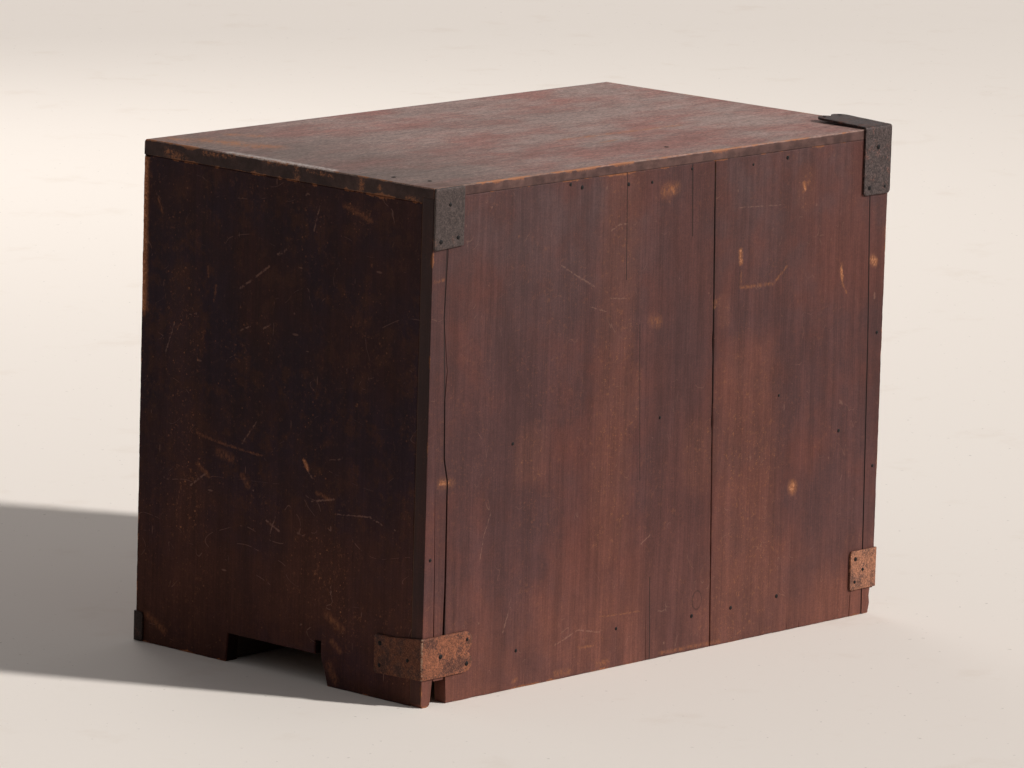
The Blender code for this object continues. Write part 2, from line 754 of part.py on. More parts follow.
def add_drawer_back(drawer, wood):
    """The back, standing on the bottom between and through the two sides."""
    low = drawer.back_low + FIT
    levels = finger_levels(drawer.back_low, drawer.side_high, drawer.back_count, True)
    levels[0] = low
    socket = DRAWER_SIDE_THICKNESS + FIT
    left_edge = comb_edge(levels, drawer.left, drawer.left + socket)
    right_edge = comb_edge(levels, drawer.right, drawer.right - socket)
    shape = bmesh.new()
    add_prism(
        shape,
        right_edge + left_edge[::-1],
        "Y",
        drawer.back_y - DRAWER_BACK_THICKNESS,
        drawer.back_y,
    )
    return add_object(drawer.name + "_back", shape, wood, drawer.empty.location, drawer.empty)


def add_drawer_bottom(drawer, wood):
    """The thin bottom, slid in from the rear in the grooves of the sides and the front."""
    reach = DRAWER_SIDE_THICKNESS - GROOVE_DEPTH + FIT
    shape = bmesh.new()
    add_box(
        shape,
        (drawer.left + reach, drawer.front_inner_y - GROOVE_DEPTH + FIT, drawer.groove_low + FIT),
        (drawer.right - reach, drawer.back_y, drawer.groove_high - FIT),
    )
    return add_object(drawer.name + "_bottom", shape, wood, drawer.empty.location, drawer.empty)


# Pulls

def split_pin_path(x, z, eye_y, eye_radius, inner_y):
    """One bent wire: a leg through the wood, a round eye in front, and the other leg back."""
    offset = PIN_LEG_OFFSET
    leg_y = inner_y + FIT + WIRE_RADIUS
    start = math.degrees(math.asin(offset / eye_radius))
    upper = [(leg_y, offset + PIN_LEG_SPREAD), (leg_y, offset)]
    loop = arc((eye_y, 0), eye_radius, start, 360 - start, EYE_STEPS)
    lower = [(leg_y, -offset), (leg_y, -offset - PIN_LEG_SPREAD)]
    return [(x, y, z + height) for y, height in upper + loop + lower]


def add_split_pin(shape, x, z, eye_y, eye_radius, inner_y):
    path = split_pin_path(x, z, eye_y, eye_radius, inner_y)
    add_sweep(shape, path, (1, 0, 0), [WIRE_RADIUS] * len(path), WIRE_SIDES)


def lobed_end(reach, low, high):
    """The end of an iron leg, low to high: two round lobes with a notch between them."""
    radius = (high - low) / 4
    middle = (low + high) / 2
    points = arc((reach - radius, low + radius), radius, -90, LOBE_TURN_DEG, LOBE_STEPS)
    points.append((reach - radius * LOBE_NOTCH_SHARE, middle))
    points += arc((reach - radius, high - radius), radius, -LOBE_TURN_DEG, 90, LOBE_STEPS)
    return points


def add_pull_plate(name, x, drawer, iron):
    """The iron plate behind a pull, with the two split pins that the bail swings in."""
    reach = BAIL_SPAN / 2 + PULL_PLATE_MARGIN
    low = drawer.pull_z - PULL_PLATE_HEIGHT / 2
    high = drawer.pull_z + PULL_PLATE_HEIGHT / 2
    end = lobed_end(reach, low, high)
    outline = [(x + along, z) for along, z in end]
    outline += [(x - along, z) for along, z in reversed(end)]
    shape = bmesh.new()
    add_prism(shape, outline, "Y", FRONT_Y - FIT - PULL_PLATE_THICKNESS, FRONT_Y - FIT)
    plate = add_object(name, shape, iron, drawer.empty.location, drawer.empty)
    pins = bmesh.new()
    eye_y = FRONT_Y - EYE_STANDOFF
    for side in (-1, 1):
        pin_x = x + side * BAIL_SPAN / 2
        add_split_pin(pins, pin_x, drawer.pull_z, eye_y, EYE_RADIUS, drawer.front_inner_y)
    return combine(plate, pins, "UNION")


def bail_half():
    """The right half of a bail in (across, down) points, from the tip in its eye to the grip."""
    shoulder = BAIL_SPAN / 2 + BAIL_PIN_LENGTH
    reach = shoulder + BAIL_SHOULDER_RADIUS
    points = [(BAIL_SPAN / 2 - BAIL_PIN_LENGTH, 0)]
    points += arc((shoulder, -BAIL_SHOULDER_RADIUS), BAIL_SHOULDER_RADIUS, 90, 0, ROUNDING_STEPS)
    drop = BAIL_DROP - BAIL_SHOULDER_RADIUS
    power = 2 / BAIL_SQUARENESS
    for index in range(1, BAIL_STEPS + 1):
        angle = math.pi / 2 * index / BAIL_STEPS
        across = reach * max(math.cos(angle), 0) ** power
        points.append((across, -BAIL_SHOULDER_RADIUS - drop * math.sin(angle) ** power))
    points[-1] = (0, -BAIL_DROP)
    return points


def add_bail(name, x, z, iron, parent):
    """A drop bail that swings in its two eyes, thicker at the grip."""
    half = bail_half()
    outline = half + [(-across, down) for across, down in half[-2::-1]]
    eye_y = FRONT_Y - EYE_STANDOFF
    path = [(x + across, eye_y, z + down) for across, down in outline]
    swell = BAIL_GRIP_RADIUS - BAIL_END_RADIUS
    radii = [BAIL_END_RADIUS + swell * (down / BAIL_DROP) ** 2 for across, down in outline]
    shape = bmesh.new()
    add_sweep(shape, path, (0, 1, 0), radii, BAIL_SIDES)
    return shade_round(add_object(name, shape, iron, (x, eye_y, z), parent))


def add_drawer(name, left, right, low, high, pulls, woods, iron):
    """A whole drawer. `pulls` maps each pull's name to its X."""
    drawer = Drawer(name, left, right, low, high, pulls)
    front_wood, inner_wood = woods
    add_drawer_front(drawer, front_wood)
    add_drawer_side(drawer, -1, inner_wood)
    add_drawer_side(drawer, 1, inner_wood)
    add_drawer_back(drawer, inner_wood)
    add_drawer_bottom(drawer, inner_wood)
    for pull_name, pull_x in pulls.items():
        add_pull_plate(pull_name + "_plate", pull_x, drawer, iron)
        add_bail(pull_name, pull_x, drawer.pull_z, iron, drawer.empty)


def add_drawers(woods, iron):
    offset = WIDE_PULL_SPACING / 2
    pulls = {"top_drawer_left_pull": -offset, "top_drawer_right_pull": offset}
    add_drawer("top_drawer", -INNER_X, INNER_X, UPPER_SHELF_TOP, TOP_UNDERSIDE, pulls, woods, iron)
    pulls = {"middle_drawer_left_pull": -offset, "middle_drawer_right_pull": offset}
    add_drawer(
        "middle_drawer", -INNER_X, INNER_X, MIDDLE_SHELF_TOP, UPPER_SHELF_LOW, pulls, woods, iron
    )
    middle = (DIVIDER_LEFT_X - INNER_X) / 2
    pulls = {"small_drawer_upper_pull": middle}
    add_drawer(
        "small_drawer_upper",
        -INNER_X, DIVIDER_LEFT_X, LOWER_SHELF_TOP, MIDDLE_SHELF_LOW,
        pulls, woods, iron,
    )
    pulls = {"small_drawer_lower_pull": middle}
    add_drawer(
        "small_drawer_lower",
        -INNER_X, DIVIDER_LEFT_X, BOTTOM_TOP, LOWER_SHELF_LOW,
        pulls, woods, iron,
    )


# Door

def bolt_box():
    """The lock's bolt, drawn back in the door's edge, as its lowest and highest corners."""
    left = DOOR_LEFT_X + BOLT_REST_INSET
    middle_y = FRONT_Y + DOOR_THICKNESS / 2
    low = Vector((left, middle_y - BOLT_THICKNESS / 2, KEYHOLE_Z - BOLT_HEIGHT / 2))
    high = Vector((left + BOLT_LENGTH, middle_y + BOLT_THICKNESS / 2, KEYHOLE_Z + BOLT_HEIGHT / 2))
    return low, high


def keyhole_cut(shape, low_y, high_y):
    add_cylinder(shape, "Y", (LOCK_X, KEYHOLE_Z), KEYHOLE_RADIUS, low_y, high_y)
    return shape


def keyhole_slot(shape, low_y, high_y):
    half = KEYHOLE_SLOT_WIDTH / 2
    add_box(
        shape,
        (LOCK_X - half, low_y, KEYHOLE_Z - KEYHOLE_SLOT_HEIGHT),
        (LOCK_X + half, high_y, KEYHOLE_Z),
    )
    return shape


def add_door_board(empty, wood):
    """The door, with the bolt's mortise in its edge, the keyhole and the ring pin's hole."""
    shape = bmesh.new()
    back_y = FRONT_Y + DOOR_THICKNESS
    add_box(shape, (DOOR_LEFT_X, FRONT_Y, DOOR_LOW), (DOOR_RIGHT_X, back_y, DOOR_HIGH))
    door = add_object("door_board", shape, wood, empty.location, empty)
    low, high = bolt_box()
    mortise = bmesh.new()
    add_box(
        mortise,
        (DOOR_LEFT_X - OVERRUN, low.y - FIT, low.z - FIT),
        (high.x + FIT, high.y + FIT, high.z + FIT),
    )
    add_cylinder(mortise, "Y", (LOCK_X, RING_Z), PIN_HOLE_RADIUS, FRONT_Y - OVERRUN, back_y + OVERRUN)
    combine(door, mortise, "DIFFERENCE")
    middle_y = (low.y + high.y) / 2
    combine(door, keyhole_cut(bmesh.new(), FRONT_Y - OVERRUN, middle_y), "DIFFERENCE")
    combine(door, keyhole_slot(bmesh.new(), FRONT_Y - OVERRUN, middle_y), "DIFFERENCE")
    return door


def add_hinge(name, z, empty, iron):
    """A butt hinge of two iron leaves: the case leaf holds the pin, and the door leaf turns on it."""
    low = z - HINGE_HEIGHT / 2
    high = z + HINGE_HEIGHT / 2
    leaf_low_y = FRONT_Y - FIT - LEAF_THICKNESS
    leaf_high_y = FRONT_Y - FIT
    knuckle = HINGE_HEIGHT / HINGE_KNUCKLES
    lower_cut = low + knuckle
    upper_cut = high - knuckle
    clear = BARREL_RADIUS + FIT

    shape = bmesh.new()
    case_low = (HINGE_X, leaf_low_y, low)
    add_box(shape, case_low, (HINGE_X + CASE_LEAF_WIDTH + BARREL_RADIUS, leaf_high_y, high))
    case_leaf = add_object(name + "_case_leaf", shape, iron)
    barrel = bmesh.new()
    add_cylinder(barrel, "Z", (HINGE_X, HINGE_Y), BARREL_RADIUS, low, high)
    combine(case_leaf, barrel, "UNION")
    gap = bmesh.new()
    add_box(
        gap,
        (HINGE_X - clear, HINGE_Y - clear, lower_cut - FIT / 2),
        (HINGE_X + clear, leaf_high_y + FIT, upper_cut + FIT / 2),
    )
    combine(case_leaf, gap, "DIFFERENCE")
    pin = bmesh.new()
    add_cylinder(pin, "Z", (HINGE_X, HINGE_Y), HINGE_PIN_RADIUS, low + knuckle / 2, high - knuckle / 2)
    combine(case_leaf, pin, "UNION")

    outline = [(HINGE_X, low)]
    lobes = lobed_end(BARREL_RADIUS + DOOR_LEAF_WIDTH, low, high)
    outline += [(HINGE_X - reach, height) for reach, height in lobes]
    outline.append((HINGE_X, high))
    shape = bmesh.new()
    add_prism(shape, outline, "Y", leaf_low_y, leaf_high_y)
    door_leaf = add_object(name + "_door_leaf", shape, iron, empty.location, empty)
    barrel = bmesh.new()
    add_cylinder(barrel, "Z", (HINGE_X, HINGE_Y), BARREL_RADIUS, low, high)
    combine(door_leaf, barrel, "UNION")
    gaps = bmesh.new()
    for cut_low, cut_high in ((low - OVERRUN, lower_cut + FIT / 2), (upper_cut - FIT / 2, high + OVERRUN)):
        add_box(
            gaps,
            (HINGE_X - clear, HINGE_Y - clear, cut_low),
            (HINGE_X + clear, leaf_high_y + FIT, cut_high),
        )
    combine(door_leaf, gaps, "DIFFERENCE")
    bore = bmesh.new()
    add_cylinder(bore, "Z", (HINGE_X, HINGE_Y), HINGE_PIN_RADIUS + FIT, low - OVERRUN, high + OVERRUN)
    combine(door_leaf, bore, "DIFFERENCE")


def add_lock_plate(empty, iron):
    """A lobed plate round the keyhole, with the split pin that the ring hangs in."""
    left = LOCK_X - LOCK_PLATE_WIDTH / 2
    right = LOCK_X + LOCK_PLATE_WIDTH / 2
    low = DOOR_MIDDLE_Z - LOCK_PLATE_HEIGHT / 2
    high = DOOR_MIDDLE_Z + LOCK_PLATE_HEIGHT / 2
    upper = lobed_end(high, left, right)
    lower = lobed_end(-low, left, right)
    outline = [(x, z) for z, x in upper]
    outline += [(x, -z) for z, x in reversed(lower)]
    plate_low_y = FRONT_Y - FIT - LEAF_THICKNESS
    plate_high_y = FRONT_Y - FIT
    shape = bmesh.new()
    add_prism(shape, outline, "Y", plate_low_y, plate_high_y)
    plate = add_object("door_lock_plate", shape, iron, empty.location, empty)
    hole = keyhole_cut(bmesh.new(), FRONT_Y - OVERRUN, FRONT_Y + OVERRUN)
    combine(plate, hole, "DIFFERENCE")
    slot = keyhole_slot(bmesh.new(), FRONT_Y - OVERRUN, FRONT_Y + OVERRUN)
    combine(plate, slot, "DIFFERENCE")
    pin = bmesh.new()
    add_split_pin(pin, LOCK_X, RING_Z, RING_EYE_Y, RING_EYE_RADIUS, FRONT_Y + DOOR_THICKNESS)
    return combine(plate, pin, "UNION")


def add_door_ring(empty, iron):
    """The pull ring, hanging in its eye."""
    circle = arc((LOCK_X, RING_Z - RING_RADIUS), RING_RADIUS, 0, 360, RING_STEPS)[:-1]
    path = [(x, RING_EYE_Y, z) for x, z in circle]
    shape = bmesh.new()
    add_sweep(shape, path, (0, 1, 0), [RING_WIRE_RADIUS] * len(path), BAIL_SIDES, closed=True)
    ring = add_object("door_ring", shape, iron, (LOCK_X, RING_EYE_Y, RING_Z), empty)
    return shade_round(ring)


def add_bolt(empty, iron):
    low, high = bolt_box()
    shape = bmesh.new()
    add_box(shape, low, high)
    return add_object("door_lock_bolt", shape, iron, (low + high) / 2, empty)


def add_door(wood, iron):
    empty = add_empty("door_hinge_axis", (HINGE_X, HINGE_Y, DOOR_MIDDLE_Z))
    add_door_board(empty, wood)
    inset = HINGE_INSET + HINGE_HEIGHT / 2
    add_hinge("upper_hinge", DOOR_HIGH - inset, empty, iron)
    add_hinge("lower_hinge", DOOR_LOW + inset, empty, iron)
    add_lock_plate(empty, iron)
    add_door_ring(empty, iron)
    add_bolt(empty, iron)


# Irons on the corners

def plain_end(reach, low, high):
    """A square end with its corners clipped, low to high."""
    cut = STRAP_CORNER_CUT
    return [(reach - cut, low), (reach, low + cut), (reach, high - cut), (reach - cut, high)]


def add_bent_strap(name, outline, corner, first, second, across, thickness, iron, lift=0):
    """Bends a flat iron round a corner of the chest.

    The outline's first coordinate runs along the strap, below zero on the leg that goes off in
    direction `first` and above zero on the one towards `second`; the other runs along `across`.
    `lift` is how far the first leg's tip has sprung away from the wood.
    """
    corner, first, second, across = (Vector(value) for value in (corner, first, second, across))
    first_out = -second
    second_out = -first
    half = (BEND_RADIUS + thickness / 2) * math.pi / 4
    centre = corner + (FIT - BEND_RADIUS) * (first_out + second_out)
    shape = bmesh.new()
    add_prism(shape, outline, "Z", 0, thickness)
    for step in range(BEND_STEPS + 1):
        place = half * (2 * step / BEND_STEPS - 1)
        everything = shape.verts[:] + shape.edges[:] + shape.faces[:]
        bmesh.ops.bisect_plane(shape, geom=everything, plane_co=(place, 0, 0), plane_no=(1, 0, 0))
    reach = -min(place for place, height in outline)
    for vertex in shape.verts:
        along, height, out = vertex.co
        turn = math.pi / 2 * min(max((along + half) / (2 * half), 0), 1)
        outward = first_out * math.cos(turn) + second_out * math.sin(turn)
        place = centre + outward * (BEND_RADIUS + out) + across * height
        place += first * max(-along - half, 0) + second * max(along - half, 0)
        place += first_out * lift * max(-along - half, 0) / reach
        vertex.co = place
    return add_object(name, shape, iron)


def add_nail_holes(obj, axis, centres, low, high):
    holes = bmesh.new()
    for centre in centres:
        add_cylinder(holes, axis, centre, NAIL_HOLE_RADIUS, low, high, HOLE_SIDES)
    return combine(obj, holes, "DIFFERENCE")


def lobe_holes(tip, inward, low, high):
    """Two nails in a leg's lobes and one between them further in, in (along, up) places."""
    middle = (low + high) / 2
    return [
        (tip + inward * NAIL_INSET, low + NAIL_INSET),
        (tip + inward * NAIL_INSET, high - NAIL_INSET),
        (tip + inward * FAR_NAIL_INSET, middle),
    ]


def add_rear_foot_strap(name, hand, back_leg, lobed, iron):
    """A strap nailed round a rear corner above the foot; its leg on the side board droops."""
    width = STRAP_WIDTH
    tail = STRAP_TAIL_WIDTH
    reach = STRAP_SIDE_LEG_LENGTH
    drop = STRAP_TAIL_DROP
    outline = [(-along, height - drop) for along, height in plain_end(reach, 0, tail)]
    outline.append((-reach * STRAP_WAIST_SHARE, STRAP_WAIST_WIDTH - drop * STRAP_WAIST_SHARE))
    outline.append((0, width))
    end = lobed_end(back_leg, 0, width) if lobed else plain_end(back_leg, 0, width)
    outline += end[::-1]
    outline.append((0, 0))
    corner = (hand * SIDE_X, BACK_Y, STRAP_FOOT_HEIGHT)
    strap = add_bent_strap(
        name, outline, corner, (0, -1, 0), (-hand, 0, 0), (0, 0, 1), STRAP_THICKNESS, iron
    )
    low = STRAP_FOOT_HEIGHT
    tip = hand * (SIDE_X - back_leg)
    back_holes = lobe_holes(tip, hand, low, low + width)
    if not lobed:
        back_holes[2] = (tip + hand * back_leg / 2, low + width / 2)
    add_nail_holes(strap, "Y", back_holes, BACK_Y - OVERRUN, BACK_Y + OVERRUN)
    ends = sorted((hand * SIDE_X - OVERRUN, hand * SIDE_X + OVERRUN))
    side_holes = lobe_holes(BACK_Y - reach, 1, low - drop, low - drop + tail)
    add_nail_holes(strap, "X", side_holes, ends[0], ends[1])
    return strap


def add_rear_top_strap(iron):
    """The strap over the rear left corner of the top: its top leg has sprung up a little."""
    width = STRAP_WIDTH
    reach = STRAP_LEG_LENGTH
    outline = [(-along, height) for along, height in lobed_end(reach, 0, width)]
    outline += plain_end(reach, 0, width)[::-1]
    corner = (-SIDE_X, BACK_Y, CHEST_HEIGHT)
    strap = add_bent_strap(
        "rear_top_left_iron", outline, corner, (0, -1, 0), (0, 0, -1), (1, 0, 0),
        STRAP_THICKNESS, iron, TOP_STRAP_LIFT,
    )
    low = -SIDE_X
    foot = CHEST_HEIGHT - reach
    back_holes = [
        (low + NAIL_INSET, foot + NAIL_INSET),
        (low + width - NAIL_INSET, foot + NAIL_INSET),
        (low + width / 2, foot + reach * TOP_STRAP_NAIL_SHARE),
    ]
    add_nail_holes(strap, "Y", back_holes, BACK_Y - OVERRUN, BACK_Y + OVERRUN)
    tip = BACK_Y - reach
    top_holes = [
        (low + NAIL_INSET, tip + NAIL_INSET),
        (low + width - NAIL_INSET, tip + NAIL_INSET),
    ]
    add_nail_holes(strap, "Z", top_holes, CHEST_HEIGHT - OVERRUN, CHEST_HEIGHT + OVERRUN)
    return strap


def add_rear_top_plate(iron):
    """What is left of the strap on the rear right corner: its top leg has broken off."""
    right = SIDE_X - FIT
    left = right - STRAP_WIDTH
    high = CHEST_HEIGHT - FIT
    low = high - TOP_PLATE_HEIGHT
    cut = STRAP_CORNER_CUT
    outline = [
        (right - cut, low),
        (right, low + cut),
        (right, high),
        (left + cut, high),
        (left, high - cut / 2),
        (left, low + TOP_PLATE_SLANT),
    ]
    shape = bmesh.new()
    add_prism(shape, outline, "Y", BACK_Y + FIT, BACK_Y + FIT + STRAP_THICKNESS)
    plate = add_object("rear_top_right_iron", shape, iron)
    centres = [
        (right - NAIL_INSET, low + NAIL_INSET),
        (left + NAIL_INSET, low + TOP_PLATE_SLANT + NAIL_INSET),
        ((left + right) / 2, high - 2 * NAIL_INSET),
    ]
    return add_nail_holes(plate, "Y", centres, BACK_Y - OVERRUN, BACK_Y + OVERRUN)


def add_front_foot_iron(name, hand, iron):
    """A low iron round a front corner, over the side board's foot and the rail's end."""
    side_end = plain_end(FOOT_IRON_SIDE_LEG, 0, FOOT_IRON_HEIGHT)
    outline = [(-along, height) for along, height in side_end]
    outline += plain_end(FOOT_IRON_FRONT_LEG, 0, FOOT_IRON_HEIGHT)[::-1]
    corner = (hand * SIDE_X, FRONT_Y, FOOT_IRON_LIFT)
    iron_obj = add_bent_strap(
        name, outline, corner, (0, 1, 0), (-hand, 0, 0), (0, 0, 1), FRONT_IRON_THICKNESS, iron
    )
    low = FOOT_IRON_LIFT
    tip = hand * (SIDE_X - FOOT_IRON_FRONT_LEG)
    middle = low + FOOT_IRON_HEIGHT / 2
    centres = [
        (tip + hand * NAIL_INSET, low + NAIL_INSET),
        (tip + hand * NAIL_INSET, low + FOOT_IRON_HEIGHT - NAIL_INSET),
        (hand * (SIDE_X - SIDE_THICKNESS / 2), middle),
    ]
    return add_nail_holes(iron_obj, "Y", centres, FRONT_Y - OVERRUN, FRONT_Y + OVERRUN)


def add_front_corner_plate(name, hand, iron):
    """A flat L of iron on a front corner, over the joint of the top and the side board."""
    right = SIDE_X - CORNER_PLATE_INSET
    high = CHEST_HEIGHT - CORNER_PLATE_DROP
    left = right - CORNER_PLATE_LEG
    low = high - CORNER_PLATE_LEG
    inner_x = right - CORNER_PLATE_SIDE_WIDTH
    inner_z = high - CORNER_PLATE_TOP_WIDTH
    cut = STRAP_CORNER_CUT
    outline = [
        (inner_x, low + cut),
        (inner_x + cut, low),
        (right - cut, low),
        (right, low + cut),
        (right, high),
        (left + cut, high),
        (left, high - cut),
        (left, inner_z + cut),
        (left + cut, inner_z),
        (inner_x, inner_z),
    ]
    shape = bmesh.new()
    near_y = FRONT_Y - FIT - FRONT_IRON_THICKNESS
    add_prism(shape, [(hand * x, z) for x, z in outline], "Y", near_y, FRONT_Y - FIT)
    plate = add_object(name, shape, iron)
    side_x = (inner_x + right) / 2
    top_z = (inner_z + high) / 2
    places = [(left + NAIL_INSET, top_z), (side_x, top_z), (side_x, low + NAIL_INSET)]
    centres = [(hand * x, z) for x, z in places]
    return add_nail_holes(plate, "Y", centres, FRONT_Y - OVERRUN, FRONT_Y + OVERRUN)


def add_irons(iron):
    add_rear_foot_strap("rear_foot_right_iron", 1, STRAP_LEG_LENGTH, True, iron)
    add_rear_foot_strap("rear_foot_left_iron", -1, STRAP_SHORT_LEG_LENGTH, False, iron)
    add_rear_top_strap(iron)
    add_rear_top_plate(iron)
    for hand, side in ((-1, "left"), (1, "right")):
        add_front_foot_iron(f"front_foot_{side}_iron", hand, iron)
        add_front_corner_plate(f"front_top_{side}_iron", hand, iron)


def build_chest():
    clear_scene()
    dark_wood = make_material("lacquered_wood", (0.085, 0.030, 0.020), 0.42, 0)
    top_wood = make_material("worn_top_wood", (0.170, 0.085, 0.060), 0.55, 0)
    inner_wood = make_material("bare_inner_wood", (0.420, 0.270, 0.150), 0.7, 0)
    iron = make_material("rusty_iron", (0.140, 0.070, 0.045), 0.65, 0.7)

    full_shelves = [(MIDDLE_SHELF_LOW, MIDDLE_SHELF_TOP), (UPPER_SHELF_LOW, UPPER_SHELF_TOP)]
    small_shelf = [(LOWER_SHELF_LOW, LOWER_SHELF_TOP)]
    add_top_board(top_wood)
    add_side_board("right_side_board", 1, True, True, full_shelves, dark_wood)
    add_side_board("left_side_board", -1, False, False, full_shelves + small_shelf, dark_wood)
    add_shelves(inner_wood)
    add_divider(inner_wood)
    add_base_rail(dark_wood)
    add_foot_stretcher(inner_wood)
    add_back_boards(dark_wood)
    add_irons(iron)
    add_drawers((dark_wood, inner_wood), iron)
    add_door(dark_wood, iron)


build_chest()
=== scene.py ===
import math

import bmesh
import bpy
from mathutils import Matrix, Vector, noise


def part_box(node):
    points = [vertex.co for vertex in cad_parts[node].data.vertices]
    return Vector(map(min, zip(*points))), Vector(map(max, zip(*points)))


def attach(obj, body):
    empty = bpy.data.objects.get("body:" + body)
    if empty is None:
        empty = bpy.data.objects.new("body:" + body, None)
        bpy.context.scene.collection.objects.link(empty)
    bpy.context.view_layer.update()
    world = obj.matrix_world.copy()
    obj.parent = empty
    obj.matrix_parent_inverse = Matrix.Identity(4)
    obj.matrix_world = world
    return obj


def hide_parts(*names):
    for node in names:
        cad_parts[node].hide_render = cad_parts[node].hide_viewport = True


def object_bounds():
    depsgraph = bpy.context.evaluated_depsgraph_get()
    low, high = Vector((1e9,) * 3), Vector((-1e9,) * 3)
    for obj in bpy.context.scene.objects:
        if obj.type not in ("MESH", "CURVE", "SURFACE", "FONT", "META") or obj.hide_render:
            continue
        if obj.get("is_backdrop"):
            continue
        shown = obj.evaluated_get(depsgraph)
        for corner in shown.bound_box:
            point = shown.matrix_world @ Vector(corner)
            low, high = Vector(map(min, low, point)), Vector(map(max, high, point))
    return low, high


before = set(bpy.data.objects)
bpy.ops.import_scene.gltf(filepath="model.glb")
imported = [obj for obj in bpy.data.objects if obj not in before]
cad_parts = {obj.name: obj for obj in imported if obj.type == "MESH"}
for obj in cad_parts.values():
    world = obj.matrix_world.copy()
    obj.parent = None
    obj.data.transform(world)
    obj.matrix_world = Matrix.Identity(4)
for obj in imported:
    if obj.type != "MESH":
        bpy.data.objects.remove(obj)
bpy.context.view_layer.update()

# --- The camera
# It stands low and far off behind the chest's right rear corner, so the boards' edges hardly
# converge. The numbers come from a fit to the chest's corners.
def new_object(name, data):
    made = bpy.data.objects.new(name, data)
    bpy.context.scene.collection.objects.link(made)
    return made


camera = new_object("camera", bpy.data.cameras.new("camera"))
camera.data.sensor_width = 36
camera.data.lens = 244.8140625
camera.location = (4.57093596, 4.20454843, 1.3758585)
camera.rotation_euler = [math.radians(turn) for turn in (79.48437935, -1.61424099, 132.91519475)]
bpy.context.scene.camera = camera
bpy.context.scene.view_settings.view_transform = "Standard"


# --- The floor and the light
# A pale painted floor. Daylight falls from the rear left of the chest, as the window's does in
# the picture, and a weaker lamp lights the drawer fronts.
FLOOR_REACH = 9
FLOOR_DROP = 0.0002
FLOOR_PAINT = (0.9, 0.825, 0.757, 1)
FLOOR_SCUFF = (0.84, 0.75, 0.67, 1)
FLOOR_SPECK = (0.42, 0.36, 0.31, 1)
ROOM_WALL = (0.74, 0.695, 0.68, 1)
ROOM_CEILING = (0.19, 0.187, 0.19, 1)
ROOM_DARK = (0.05, 0.048, 0.05, 1)
TO_WALL = (-0.76, -0.65, 0)
TO_WINDOW = (-0.474, 0.88, 0.63)
TO_FRONT_LAMP = (-1.5, -2.7, 1.5)
FRONT_LAMP_PLACE = (-1.5, -2.7, 1.7)


class Work:
    """A tree of nodes, the place on the piece, and what is worked out from them."""

    def __init__(self, tree, place=None):
        self.tree = tree
        self.place = place

    def add(self, kind, inputs, **settings):
        """A node with its inputs set: a socket is joined, any other value is written."""
        made = self.tree.nodes.new(kind if "Node" in kind else "ShaderNode" + kind)
        for name, value in settings.items():
            setattr(made, name, value)
        for name, value in inputs.items():
            if isinstance(value, bpy.types.NodeSocket):
                self.tree.links.new(value, made.inputs[name])
            else:
                made.inputs[name].default_value = value
        return made.outputs

    def reckon(self, operation, *values):
        return self.add("Math", dict(enumerate(values)), operation=operation)[0]

    def times(self, first, second):
        return self.reckon("MULTIPLY", first, second)

    def plus(self, value, amount, more):
        """The value times the amount, and more."""
        return self.reckon("MULTIPLY_ADD", value, amount, more)

    def vector(self, operation, *values):
        made = self.add("VectorMath", dict(enumerate(values)), operation=operation)
        return made["Value" if operation in ("LENGTH", "DOT_PRODUCT", "DISTANCE") else "Vector"]

    def share(self, value, low, high, first=0.0, last=1.0):
        """Goes smoothly from `first` to `last` while the value goes from low to high."""
        inputs = {"Value": value, "From Min": low, "From Max": high, "To Min": first, "To Max": last}
        return self.add("MapRange", inputs, interpolation_type="SMOOTHSTEP")["Result"]

    def mottle(self, scale, detail=2.0, roughness=0.5, warp=0.0, place=None):
        """Noise over the piece, drawn out where the scale has a value for each axis."""
        place = place or self.place
        if isinstance(scale, tuple):
            place, scale = self.vector("MULTIPLY", place, scale), 1
        inputs = {"Vector": place, "Scale": scale, "Detail": detail}
        return self.add("TexNoise", {**inputs, "Roughness": roughness, "Distortion": warp})["Fac"]

    def mix(self, amount, first, second, how="MIX"):
        return self.add("Mix", {0: amount, 6: first, 7: second}, data_type="RGBA", blend_type=how)[2]

    def axes(self, place):
        return self.add("SeparateXYZ", {0: place})


class Finish(Work):
    """A material whose colour is built up in layers, each laid over the ones before it."""

    def __init__(self, name, colour):
        self.material = bpy.data.materials.new(name)
        self.material.use_nodes = True
        super().__init__(self.material.node_tree)
        self.place = self.add("TexCoord", {})["Object"]
        self.where = self.axes(self.place)
        self.colour = colour

    def lay(self, colour, mask, amount=None):
        """Lays a colour over the others where the mask says, `amount` thick."""
        if amount is not None:
            mask = self.times(mask, amount)
        self.colour = self.mix(mask, self.colour, colour)

    def shade(self, value, low, high, darkest, lightest):
        """Darkens or lightens the colour as the value goes from low to high."""
        level = self.share(value, low, high, darkest, lightest)
        grey = self.add("CombineColor", {0: level, 1: level, 2: level})[0]
        self.colour = self.mix(1.0, self.colour, grey, "MULTIPLY")

    def vary(self, value, low, swing, tone=1.0):
        """Darkens and lightens the colour by `swing` as the value goes from low to 1 - low."""
        self.shade(value, low, 1 - low, (1 - swing) * tone, (1 + swing) * tone)

    def close(self, roughness, height, strength, depth, shine=0.5, metal=None):
        """Joins the layers to the shader, and gives the material."""
        shader = self.tree.nodes["Principled BSDF"]
        bump = self.add("Bump", {"Height": height, "Strength": strength, "Distance": depth})["Normal"]
        for name, value in (("Base Color", self.colour), ("Roughness", roughness), ("Normal", bump)):
            self.tree.links.new(value, shader.inputs[name])
        if metal:
            self.tree.links.new(metal, shader.inputs["Metallic"])
        shader.inputs["Specular IOR Level"].default_value = shine
        return self.material


